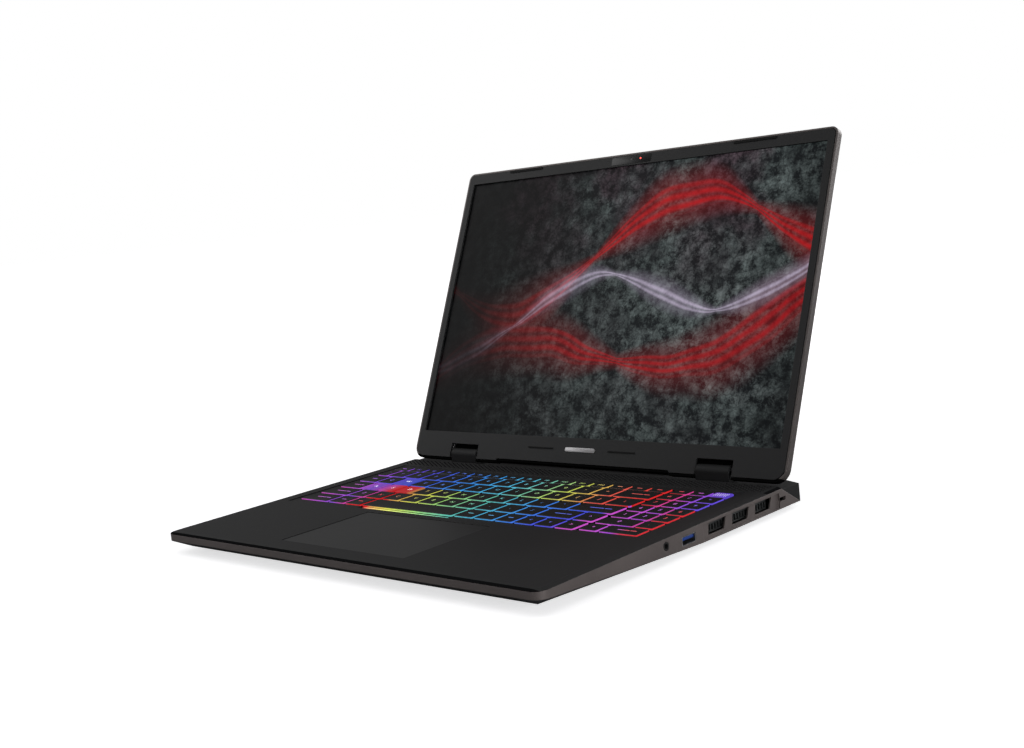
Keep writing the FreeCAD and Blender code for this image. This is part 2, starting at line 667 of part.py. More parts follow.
keep("memory_modules", together([
    box("6", "76", "104", "132", "8.0", "9.0"), box("6", "76", "104", "132", "9.6", "10.6"),
    box("6", "76", "132", "138", "8.0", "10.6"),
]), "base")
keep("wireless_card", box("-86", "-56", "132", "154", "8.0", "10.0"), "base")
keep("speakers", together([
    box("141", "159", "22", "92", floorZ, "10.6"), box("-159", "-141", "22", "92", floorZ, "10.6"),
]), "base")

# fans
for name, side in (("left", "-fanX"), ("right", "fanX")):
    housing = newBody("fan_housing_" + name, "base")
    sk = newSketch(housing, offset="fanZ")
    rectangle(sk, side + " - 32", side + " + 32", "fanY - 33", "fanY + 31")
    pad(housing, sk, "fanHeight")
    sk = newSketch(housing, offset="fanZ + 1")
    circle(sk, side, "fanY", "fanRadius + fanRoom")
    pocket(housing, sk, "fanHeight - 2", back=True)
    sk = newSketch(housing, offset="fanZ + fanHeight")
    circle(sk, side, "fanY", "fanRadius - 4")
    pocket(housing, sk, "1.2")
    sk = newSketch(housing, offset="fanZ")
    for turn in range(8):
        angle = math.radians(45 * turn)
        circle(sk, side + " + %.3f" % (15 * math.cos(angle)), "fanY + %.3f" % (15 * math.sin(angle)), "4.4")
    pocket(housing, sk, "1.2", back=True)
    sk = newSketch(housing, offset="fanZ + 0.5")
    circle(sk, side, "fanY", "shaftRadius")
    pad(housing, sk, "fanHeight - 1.1")
    sk = newSketch(housing, offset="fanZ + 1")
    outlet = (side + " + 20", side + " + 40") if name == "right" else (side + " - 40", side + " - 20")
    rectangle(sk, outlet[0], outlet[1], "fanY - 22", "fanY + 22")
    pocket(housing, sk, "fanHeight - 2", back=True)

    rotor = doc.addObject("PartDesign::Body", "fan_rotor_" + name)
    rotor.Label = "fan_rotor_" + name
    bind(rotor, Placement_Base_x=side, Placement_Base_y="frontY + fanY", Placement_Base_z="fanZ + 1.4")
    parts[rotor.Label] = rotor
    sk = newSketch(rotor)
    circle(sk, "0", "0", "10")
    pad(rotor, sk, "fanHeight - 2.8")
    sk = newSketch(rotor)
    polygon(sk, [
        ("9", "-0.6"), ("18", "1.2"), ("fanRadius - 0.4", "4.6"), ("fanRadius - 0.9", "5.4"),
        ("17.6", "2.2"), ("9", "0.6"),
    ])
    blade = pad(rotor, sk, "fanHeight - 3.2")
    polarRow(rotor, [blade], 19)
    sk = newSketch(rotor, offset="fanHeight")
    circle(sk, "0", "0", "shaftRadius + pinFit")
    pocket(rotor, sk)

# sockets
def socket(wide, high, deep, wallThick, tongue):
    """Open box socket facing +X at the origin, with its contact tongue."""
    shell = cut(
        box("-%s" % deep, "0", "-%s / 2" % wide, "%s / 2" % wide, "-%s / 2" % high, "%s / 2" % high),
        box(
            "0.8 - %s" % deep, "1", "%s - %s / 2" % (wallThick, wide), "%s / 2 - %s" % (wide, wallThick),
            "%s - %s / 2" % (wallThick, high), "%s / 2 - %s" % (high, wallThick),
        ),
    )
    inner = box(
        "0.8 - %s" % deep, "-0.9", "-%s / 2" % tongue[0], "%s / 2" % tongue[0],
        "%s" % tongue[1], "%s" % tongue[2],
    )
    return fuse([shell, inner])


def usbShape():
    return socket("13.3", "5.5", "15", "0.4", ("11.2", "0.15", "1.95"))


def facing(obj, x, y, z, turn):
    obj.Placement.Rotation = FreeCAD.Rotation(FreeCAD.Vector(0, 0, 1), turn)
    bind(obj, Placement_Base_x=x, Placement_Base_y=y, Placement_Base_z=z)
    return obj


keep("data_ports", together([
    facing(usbShape(), half + " - 0.1", "portY", "portZ", 0),
    facing(usbShape(), "0.1 - " + half, "portY", "portZ", 180),
    facing(usbShape(), "0.1 - " + half, "portY - 22", "portZ", 180),
]), "base")
keep("small_ports", together([
    facing(socket("9.0", "3.2", "10", "0.3", ("6.7", "-0.35", "0.35")), "25", "rearY - 0.1", "8.7", 90),
    facing(socket("9.0", "3.2", "10", "0.3", ("6.7", "-0.35", "0.35")), "45", "rearY - 0.1", "8.7", 90),
]), "base")
videoShell = socket("15.2", "5.4", "12", "0.5", ("11.8", "-0.7", "0.9"))
keep("video_port", facing(videoShell, "-10", "rearY - 0.1", "8.6", 90), "base")
keep("power_jack", facing(cut(
    box("-14", "0", "-5.6", "5.6", "-3.1", "3.1"),
    cut(cylinder("2.75", "14", "-12", "0", "0", "x"), cylinder("0.5", "8", "-12.5", "0", "0", "x")),
), "-50", "rearY - 0.1", "8.7", 90), "base")
keep("audio_jack", cut(
    fuse([
        box("164", half + " - wall - 0.2", "jackY - 3", "jackY + 3", "jackZ - 2.6", "jackZ + 2.6"),
        cylinder("2.25", "3", half + " - wall - 0.6", "jackY", "jackZ", "x"),
    ]),
    cylinder("jackBore / 2", "16", "166", "jackY", "jackZ", "x"),
), "base")

# feet and screws
front = newBody("rubber_foot_front", "base")
sk = newSketch(front)
rectangle(sk, "-120", "120", "footFrontY", "footFrontY + footWide")
pad(front, sk, "underZ")
fillet(front, lambda e, m: upright(e), "3")
chamfer(front, lambda e, m: e.BoundBox.ZMax < 0.01, "0.6")
keep("rubber_foot_rear", together([
    box("-150", "-70", "footRearY", "footRearY + footWide", "0", "underZ"),
    box("70", "150", "footRearY", "footRearY + footWide", "0", "underZ"),
]), "base")
keep("bottom_screws", together([
    fuse([
        cylinder("screwHead", "0.7", str(x), str(y), "underZ + 0.1"),
        cylinder("screwShank", "4.2" if y < 100 else "2.2", str(x), str(y), "underZ + 0.8"),
    ])
    for x, y in screwSpots
]), "base")

# hinges
for name, side in (("left", -1), ("right", 1)):
    def span(low, high):
        ends = sorted((low * side, high * side))
        return "%.3f" % ends[0], "%.3f" % ends[1]

    x0, x1 = span(110, 133.5)
    barrel = cylinder("barrelRadius", "%s - (%s)" % (x1, x0), x0, pivotY, pivotZ, "x")
    bore = cylinder("pinRadius + pinFit", "40", span(105, 145)[0], pivotY, pivotZ, "x")
    leg0, leg1 = span(112, 132)
    leg = box(leg0, leg1, pivotY + " - 3.3", pivotY + " - 0.7", floorZ, pivotZ + " - 2")
    foot = box(leg0, leg1, "216", pivotY + " - 0.7", floorZ, floorZ + " + 1.6")
    keep("hinge_bracket_base_" + name, cut(fuse([barrel, leg, foot]), bore), "base")

    shell = newBody("hinge_cover_" + name, "base")
    first = "coverIn" if side > 0 else "-coverOut"
    sk = newSketch(shell, "YZ_Plane", first)
    rectangle(sk, pivotY + " - coverRadius", pivotY + " + coverRadius", "valleyZ", pivotZ)
    pad(shell, sk, "coverOut - coverIn")
    sk = newSketch(shell, "YZ_Plane", first)
    circle(sk, pivotY, pivotZ, "coverRadius")
    pad(shell, sk, "coverOut - coverIn")
    sk = newSketch(shell, "YZ_Plane", first + " + 1")
    rectangle(sk, pivotY + " - 3.6", pivotY + " + 3.6", "valleyZ - 1", pivotZ)
    pocket(shell, sk, "coverOut - coverIn - 2", back=True)
    sk = newSketch(shell, "YZ_Plane", first + " + 1")
    circle(sk, pivotY, pivotZ, "3.6")
    pocket(shell, sk, "coverOut - coverIn - 2", back=True)
    sk = newSketch(shell, "YZ_Plane", "coverOut - 2" if side > 0 else "-coverOut - 2")
    circle(sk, pivotY, pivotZ, "pinRadius + 0.4")
    pocket(shell, sk, "4", back=True)

    arm0, arm1 = span(137.4, 147.4)
    wide0, wide1 = span(137.4, 166)
    keep("hinge_bracket_lid_" + name, cut(
        fuse([
            box(arm0, arm1, "-3.4", "4", "lidBack + lidSkin + 0.05", "bezelBack - 0.1"),
            box(wide0, wide1, "4", "11.8", "lidBack + lidSkin + 0.05", "1.0"),
        ]),
        cylinder("pinRadius", "40", span(120, 160)[0], "0", "0", "x"),
    ), "lid")
keep("hinge_pins", together([
    cylinder("pinRadius", "34", "112", "0", "0", "x"),
    cylinder("pinRadius", "34", "-146", "0", "0", "x"),
]), "lid")

# lid
def lidOutline(sketch, side, low, rise, high):
    raised = "%s + %s" % (low, rise)
    polygon(sketch, [
        ("-(%s)" % side, low), ("-85", low), ("-83.5", raised), ("83.5", raised),
        ("85", low), (side, low), (side, high), ("-(%s)" % side, high),
    ])


def lidHollow(sketch, side, low, high):
    """Inner outline of the lid shell, with its corners cut off."""
    polygon(sketch, [
        ("5 - (%s)" % side, low), ("-85", low), ("-83.5", "%s + 1.5" % low), ("83.5", "%s + 1.5" % low),
        ("85", low), (side + " - 5", low), (side, "%s + 5" % low), (side, "%s - 2.5" % high),
        (side + " - 2.5", high), ("2.5 - (%s)" % side, high), ("-(%s)" % side, "%s - 2.5" % high),
        ("-(%s)" % side, "%s + 5" % low),
    ])


def lidNotches(body, top, room):
    sk = newSketch(body, offset="lidBack - 1")
    rectangle(sk, "notchIn - " + room, "notchOut + " + room, "lidBottom - 1", top)
    rectangle(sk, "-notchOut - " + room, "%s - notchIn" % room, "lidBottom - 1", top)
    pocket(body, sk, "lidFace - lidBack + 2", back=True)


lid = newBody("lid_cover", "lid")
sk = newSketch(lid, offset="lidBack")
lidOutline(sk, half, "lidBottom", "1.5", "lidTop")
pad(lid, sk, "rimTop - lidBack")
fillet(lid, lambda e, m: upright(e) and abs(m.x) > 179 and m.y > 200, "5.5")
fillet(lid, lambda e, m: upright(e) and abs(m.x) > 179 and m.y < 20, "10")
chamfer(
    lid,
    lambda e, m: e.BoundBox.ZMax < num("lidBack") + 0.01 and (abs(m.x) > 170 or m.y > 200),
    "1.0",
)
sk = newSketch(lid, offset="lidBack + lidSkin")
lidHollow(sk, half + " - 1.5", "lidBottom + 1.5", "lidTop - 1.3")
pocket(lid, sk, "rimTop - lidBack - lidSkin + 1", back=True)
lidNotches(lid, "skinNotch", "0")

bezel = newBody("screen_bezel", "lid")
sk = newSketch(bezel, offset="bezelBack")
lidOutline(sk, "bezelHalf", "bezelBottom", "1.5", "bezelTop")
pad(bezel, sk, "lidFace - bezelBack")
fillet(bezel, lambda e, m: upright(e) and abs(m.x) > 177 and m.y > 200, "4")
fillet(bezel, lambda e, m: upright(e) and abs(m.x) > 177 and m.y < 20, "8.2")
sk = newSketch(bezel, offset="bezelBack")
rectangle(sk, "-screenHalf", "screenHalf", "screenBottom", "screenTop")
circle(sk, "0", "238", "1.3")
circle(sk, "8.7", "238", "0.5")
pocket(bezel, sk, "lidFace - bezelBack", back=True)
lidNotches(bezel, "notchTop + 0.3", "0.3")

keep("lcd_panel", box("-176", "176", "12.6", "235.8", "-0.9", "bezelBack - 0.1"), "lid")
keep("webcam_module", fuse([
    box("-34", "34", "236.2", "240.4", "-1.0", "bezelBack - 0.1"),
    cylinder("1.1", "0.9", "0", "238", "bezelBack - 0.1"),
    cylinder("0.4", "1.1", "8.7", "238", "bezelBack - 0.1"),
]), "lid")
strips = []
for side in (-1, 1):
    for low, high, y0, y1 in ((94.4, 130.5, 239.0, 240.8), (27.0, 52.0, 7.9, 8.9)):
        ends = sorted((low * side, high * side))
        strips.append(box(str(ends[0]), str(ends[1]), str(y0), str(y1), "lidFace", "lidFace + 0.6"))
keep("bezel_strips", together(strips), "lid")

doc.recompute()
bad = [o.Name for o in doc.Objects if "Invalid" in o.State or "Error" in o.State]
if bad:
    raise RuntimeError("objects with errors: %s" % bad)
for name, obj in parts.items():
    if obj.Shape.isNull() or not obj.Shape.isValid():
        raise RuntimeError("bad shape: " + name)
    obj.Shape.exportStep("parts/%s.step" % name)
    print("%-28s volume %10.1f  solids %d" % (name, obj.Shape.Volume, len(obj.Shape.Solids)))
low = [min(getattr(o.Shape.BoundBox, k) for o in parts.values()) for k in ("XMin", "YMin", "ZMin")]
high = [max(getattr(o.Shape.BoundBox, k) for o in parts.values()) for k in ("XMax", "YMax", "ZMax")]
print("nodes", len(parts), "low", [round(v, 3) for v in low], "high", [round(v, 3) for v in high])
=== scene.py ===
import bpy
import bmesh
import math
from mathutils import Matrix, Vector
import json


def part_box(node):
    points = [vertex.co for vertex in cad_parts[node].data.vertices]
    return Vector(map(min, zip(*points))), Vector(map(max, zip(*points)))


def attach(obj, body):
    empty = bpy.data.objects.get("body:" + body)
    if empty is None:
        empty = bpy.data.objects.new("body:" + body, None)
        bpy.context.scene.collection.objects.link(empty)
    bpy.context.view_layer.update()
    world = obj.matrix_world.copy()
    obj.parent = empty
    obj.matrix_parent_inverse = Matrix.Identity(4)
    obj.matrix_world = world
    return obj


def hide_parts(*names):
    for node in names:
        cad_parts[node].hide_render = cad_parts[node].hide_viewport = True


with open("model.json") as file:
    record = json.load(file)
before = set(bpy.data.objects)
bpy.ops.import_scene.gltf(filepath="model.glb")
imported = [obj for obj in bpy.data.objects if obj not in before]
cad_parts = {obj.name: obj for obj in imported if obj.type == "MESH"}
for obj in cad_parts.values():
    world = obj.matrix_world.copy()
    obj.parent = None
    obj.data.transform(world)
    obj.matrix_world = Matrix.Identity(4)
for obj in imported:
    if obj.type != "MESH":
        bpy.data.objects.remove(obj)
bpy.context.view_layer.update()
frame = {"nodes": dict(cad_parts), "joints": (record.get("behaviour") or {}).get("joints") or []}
nodes = frame["nodes"]
print("laptop frame loaded:", len(nodes), "nodes")

# places: the deck slopes a little, the lid leans back at rest
hinge = [joint for joint in frame["joints"] if joint["name"] == "lid_hinge"][0]
press = [joint for joint in frame["joints"] if joint["name"] == "key_w_press"][0]
pivot = Vector(hinge["pos_m"])
lidLean = math.radians(65.56)
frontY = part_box("top_case")[0].y
deckPlace = Matrix.Translation((0, frontY, 0.0155)) @ Matrix.Rotation(math.asin(press["axis"][1]), 4, "X")
lidPlace = Matrix.Translation(pivot) @ Matrix.Rotation(lidLean, 4, "X")
basePlace = Matrix.Translation((0, frontY, 0))
mm = 0.001


def tone(red, green, blue):
    parts = [value / 255 for value in (red, green, blue)]
    return tuple(p / 12.92 if p < 0.04045 else ((p + 0.055) / 1.055) ** 2.4 for p in parts) + (1.0,)


# small tools for modelling

def clearSelection():
    for item in bpy.context.selected_objects:
        item.select_set(False)


def addBlock(name, low, high):
    clearSelection()
    centre = [(a + b) / 2 for a, b in zip(low, high)]
    size = [b - a for a, b in zip(low, high)]
    bpy.ops.mesh.primitive_cube_add(size=1, location=centre, scale=size)
    item = bpy.context.active_object
    item.name = name
    item.data.name = name
    bpy.ops.object.transform_apply(location=True, rotation=True, scale=True)
    return item


def addRound(name, radius, low, high, spot=(0, 0), sides=32):
    clearSelection()
    bpy.ops.mesh.primitive_cylinder_add(
        vertices=sides, radius=radius, depth=high - low, location=(spot[0], spot[1], (low + high) / 2))
    item = bpy.context.active_object
    item.name = name
    item.data.name = name
    bpy.ops.object.transform_apply(location=True, rotation=True, scale=True)
    return item


def startEdit(item):
    clearSelection()
    item.select_set(True)
    bpy.context.view_layer.objects.active = item
    bpy.ops.object.mode_set(mode="EDIT")
    bpy.ops.mesh.select_all(action="DESELECT")


def endEdit():
    bpy.ops.object.mode_set(mode="OBJECT")


def pickFaces(item, test):
    bpy.ops.mesh.select_mode(type="FACE")
    bpy.ops.mesh.select_all(action="DESELECT")
    mesh = bmesh.from_edit_mesh(item.data)
    mesh.normal_update()
    for face in mesh.faces:
        if test(face.calc_center_median(), face.normal):
            face.select_set(True)
    bmesh.update_edit_mesh(item.data)


def pickEdges(item, test):
    bpy.ops.mesh.select_mode(type="EDGE")
    bpy.ops.mesh.select_all(action="DESELECT")
    mesh = bmesh.from_edit_mesh(item.data)
    for edge in mesh.edges:
        ends = [corner.co for corner in edge.verts]
        if test((ends[0] + ends[1]) / 2, (ends[1] - ends[0]).normalized()):
            edge.select_set(True)
    bmesh.update_edit_mesh(item.data)


def coat(item, *finishes):
    item.data.materials.clear()
    for finish in finishes:
        item.data.materials.append(finish)


def moved(item, place):
    item.data.transform(place)
    return item


def copied(item, place):
    twin = item.copy()
    twin.data = item.data.copy()
    bpy.context.collection.objects.link(twin)
    return moved(twin, place)


def joined(items, name):
    clearSelection()
    for item in items:
        item.select_set(True)
    bpy.context.view_layer.objects.active = items[0]
    if len(items) > 1:
        bpy.ops.object.join()
    whole = bpy.context.active_object
    whole.name = name
    whole.data.name = name
    return whole


def smoothed(item, angle=32):
    clearSelection()
    item.select_set(True)
    bpy.context.view_layer.objects.active = item
    bpy.ops.object.shade_smooth_by_angle(angle=math.radians(angle))
    return item


# shared effects for the finishes

def newGroup(name, inputs, outputs):
    group = bpy.data.node_groups.new(name, "ShaderNodeTree")
    for title, kind, value in inputs:
        socket = group.interface.new_socket(name=title, in_out="INPUT", socket_type="NodeSocket" + kind)
        socket.default_value = value
    for title, kind in outputs:
        group.interface.new_socket(name=title, in_out="OUTPUT", socket_type="NodeSocket" + kind)
    return group, group.nodes.new("NodeGroupInput"), group.nodes.new("NodeGroupOutput")


def math2(tree, kind, first, second=None, clamp=False):
    node = tree.nodes.new("ShaderNodeMath")
    node.operation = kind
    node.use_clamp = clamp
    for socket, value in zip(node.inputs, (first, second)):
        if value is None:
            continue
        if isinstance(value, (int, float)):
            socket.default_value = value
        else:
            tree.links.new(value, socket)
    return node.outputs[0]


def ranged(tree, source, fromLow, fromHigh, toLow=0.0, toHigh=1.0, smooth=False):
    node = tree.nodes.new("ShaderNodeMapRange")
    node.interpolation_type = "SMOOTHSTEP" if smooth else "LINEAR"
    for title, value in (("Value", source), ("From Min", fromLow), ("From Max", fromHigh),
                         ("To Min", toLow), ("To Max", toHigh)):
        if isinstance(value, (int, float)):
            node.inputs[title].default_value = value
        else:
            tree.links.new(value, node.inputs[title])
    return node.outputs["Result"]


def blended(tree, factor, first, second, kind="MIX"):
    node = tree.nodes.new("ShaderNodeMix")
    node.data_type = "RGBA"
    node.blend_type = kind
    node.clamp_factor = True
    for socket, value in ((node.inputs[0], factor), (node.inputs[6], first), (node.inputs[7], second)):
        if isinstance(value, (int, float, tuple)):
            socket.default_value = value
        else:
            tree.links.new(value, socket)
    return node.outputs[2]


def noise(tree, vector, scale, detail=3.0, roughness=0.55):
    node = tree.nodes.new("ShaderNodeTexNoise")
    node.inputs["Detail"].default_value = detail
    node.inputs["Roughness"].default_value = roughness
    if isinstance(scale, (int, float)):
        node.inputs["Scale"].default_value = scale
    else:
        tree.links.new(scale, node.inputs["Scale"])
    tree.links.new(vector, node.inputs["Vector"])
    return node


def makeSurfaceGrain():
    group, into, out = newGroup("surfaceGrain", [
        ("Scale", "Float", 900.0), ("Patch", "Float", 14.0), ("Stretch", "Vector", (1, 1, 1)),
        ("Dark", "Color", (0.01, 0.01, 0.01, 1)), ("Light", "Color", (0.02, 0.02, 0.02, 1)),
        ("Rough Low", "Float", 0.4), ("Rough High", "Float", 0.5),
    ], [("Color", "Color"), ("Roughness", "Float"), ("Height", "Float")])
    spot = group.nodes.new("ShaderNodeTexCoord")
    stretch = group.nodes.new("ShaderNodeMapping")
    group.links.new(spot.outputs["Object"], stretch.inputs["Vector"])
    group.links.new(into.outputs["Stretch"], stretch.inputs["Scale"])
    fine = noise(group, stretch.outputs["Vector"], into.outputs["Scale"], 4.0, 0.6)
    patch = noise(group, spot.outputs["Object"], into.outputs["Patch"], 3.0)
    both = math2(group, "ADD", math2(group, "MULTIPLY", fine.outputs["Fac"], 0.55),
                 math2(group, "MULTIPLY", patch.outputs["Fac"], 0.45))
    color = blended(group, ranged(group, both, 0.38, 0.62), into.outputs["Dark"], into.outputs["Light"])
    rough = ranged(group, both, 0.35, 0.65, into.outputs["Rough Low"], into.outputs["Rough High"])
    group.links.new(color, out.inputs["Color"])
    group.links.new(rough, out.inputs["Roughness"])
    group.links.new(fine.outputs["Fac"], out.inputs["Height"])
    return group


def makeEdgeRub():
    group, into, out = newGroup("edgeRub", [
        ("Radius", "Float", 0.0004), ("Gain", "Float", 3.0),
    ], [("Mask", "Float"), ("Normal", "Vector")])
    soft = group.nodes.new("ShaderNodeBevel")
    soft.samples = 4
    group.links.new(into.outputs["Radius"], soft.inputs["Radius"])
    flat = group.nodes.new("ShaderNodeNewGeometry")
    turn = group.nodes.new("ShaderNodeVectorMath")
    turn.operation = "DOT_PRODUCT"
    group.links.new(soft.outputs["Normal"], turn.inputs[0])
    group.links.new(flat.outputs["Normal"], turn.inputs[1])
    spot = group.nodes.new("ShaderNodeTexCoord")
    broken = noise(group, spot.outputs["Object"], 160.0, 4.0)
    rub = math2(group, "MULTIPLY", math2(group, "SUBTRACT", 1.0, turn.outputs["Value"]), into.outputs["Gain"])
    mask = math2(group, "MULTIPLY", rub, ranged(group, broken.outputs["Fac"], 0.3, 0.6), clamp=True)
    group.links.new(mask, out.inputs["Mask"])
    group.links.new(soft.outputs["Normal"], out.inputs["Normal"])
    return group


# painted shade: a mask of boxes in which a surface is painted darker
def makePaintedShade(name, spot, lean, spans):
    group, into, out = newGroup(name, [("Length", "Float", mm)], [("Mask", "Float")])
    place = group.nodes.new("ShaderNodeMapping")
    place.vector_type = "TEXTURE"
    place.inputs["Location"].default_value = spot
    place.inputs["Rotation"].default_value = (lean, 0, 0)
    group.links.new(group.nodes.new("ShaderNodeTexCoord").outputs["Object"], place.inputs["Vector"])
    parts = group.nodes.new("ShaderNodeSeparateXYZ")
    group.links.new(place.outputs["Vector"], parts.inputs["Vector"])
    mask = 0.0
    for span in spans:
        inside = 1.0
        for axis, low, high in zip("XYZ", span[0::2], span[1::2]):
            level = math2(group, "DIVIDE", parts.outputs[axis], into.outputs["Length"])
            inside = math2(group, "MULTIPLY", inside, math2(group, "GREATER_THAN", level, low))
            inside = math2(group, "MULTIPLY", inside, math2(group, "LESS_THAN", level, high))
        mask = math2(group, "MAXIMUM", mask, inside)
    group.links.new(mask, out.inputs["Mask"])
    return group


surfaceGrain = makeSurfaceGrain()
edgeRub = makeEdgeRub()
deckTilt = math.asin(press["axis"][1])
# painted shade: the deck's front rim and its sunk rear strip, and the lid's lower rim and the inner skin seen
# through the hinge notch, are painted darker in these boxes
paintedShades = {  # boxes along the surface that are darker, in mm
    "deckPaintedShade": makePaintedShade("deckPaintedShade", deckPlace.to_translation(), deckTilt,
                         [(-190, 190, -5, 2.8, -9, 9), (-190, 190, 216, 233, -9, -0.25)]),
    "lidPaintedShade": makePaintedShade("lidPaintedShade", pivot, lidLean,
                        [(-190, 190, -9, -2.6, -9, 9), (-160, 160, -9, 8.3, -1.9, 9)]),
}


def newFinish(name):
    finish = bpy.data.materials.new(name)
    finish.use_nodes = True
    return finish, finish.node_tree, finish.node_tree.nodes["Principled BSDF"]


def grainFinish(name, look):
    finish, tree, shader = newFinish(name)
    grain = tree.nodes.new("ShaderNodeGroup")
    grain.node_tree = surfaceGrain
    grain.inputs["Scale"].default_value = look["scale"]
    grain.inputs["Patch"].default_value = look.get("patch", 14.0)
    grain.inputs["Stretch"].default_value = look.get("stretch", (1, 1, 1))
    grain.inputs["Dark"].default_value = tone(*look["dark"])
    grain.inputs["Light"].default_value = tone(*look["light"])
    grain.inputs["Rough Low"].default_value = look["rough"][0]
    grain.inputs["Rough High"].default_value = look["rough"][1]
    edge = tree.nodes.new("ShaderNodeGroup")
    edge.node_tree = edgeRub
    edge.inputs["Radius"].default_value = look.get("edge", 0.3) * mm
    edge.inputs["Gain"].default_value = look.get("rub", 1.2)
    color = blended(tree, edge.outputs["Mask"], grain.outputs["Color"], tone(*look["worn"]))
    # painted shade: inside the boxes the colour is mixed to a darker tone
    if "paintedShade" in look:
        paintedShade = tree.nodes.new("ShaderNodeGroup")
        paintedShade.node_tree = paintedShades[look["paintedShade"]]
        color = blended(tree, paintedShade.outputs["Mask"], color, tone(*look["paintedShadeTone"]))
    tree.links.new(color, shader.inputs["Base Color"])
    tree.links.new(grain.outputs["Roughness"], shader.inputs["Roughness"])
    bump = tree.nodes.new("ShaderNodeBump")
    bump.inputs["Strength"].default_value = look.get("bump", 0.2)
    bump.inputs["Distance"].default_value = look.get("depth", 0.05) * mm
    tree.links.new(grain.outputs["Height"], bump.inputs["Height"])
    tree.links.new(edge.outputs["Normal"], bump.inputs["Normal"])
    tree.links.new(bump.outputs["Normal"], shader.inputs["Normal"])
    shader.inputs["Metallic"].default_value = look.get("metal", 0.0)
    shader.inputs["Specular IOR Level"].default_value = look.get("shine", 0.5)
    # inside the painted shade the metal and the sheen are taken away too, so no reflection shows there
    if "paintedShade" in look:
        for title in ("Metallic", "Specular IOR Level"):
            plain = shader.inputs[title].default_value
            tree.links.new(ranged(tree, paintedShade.outputs["Mask"], 0.0, 1.0, plain, 0.0), shader.inputs[title])
    return finish


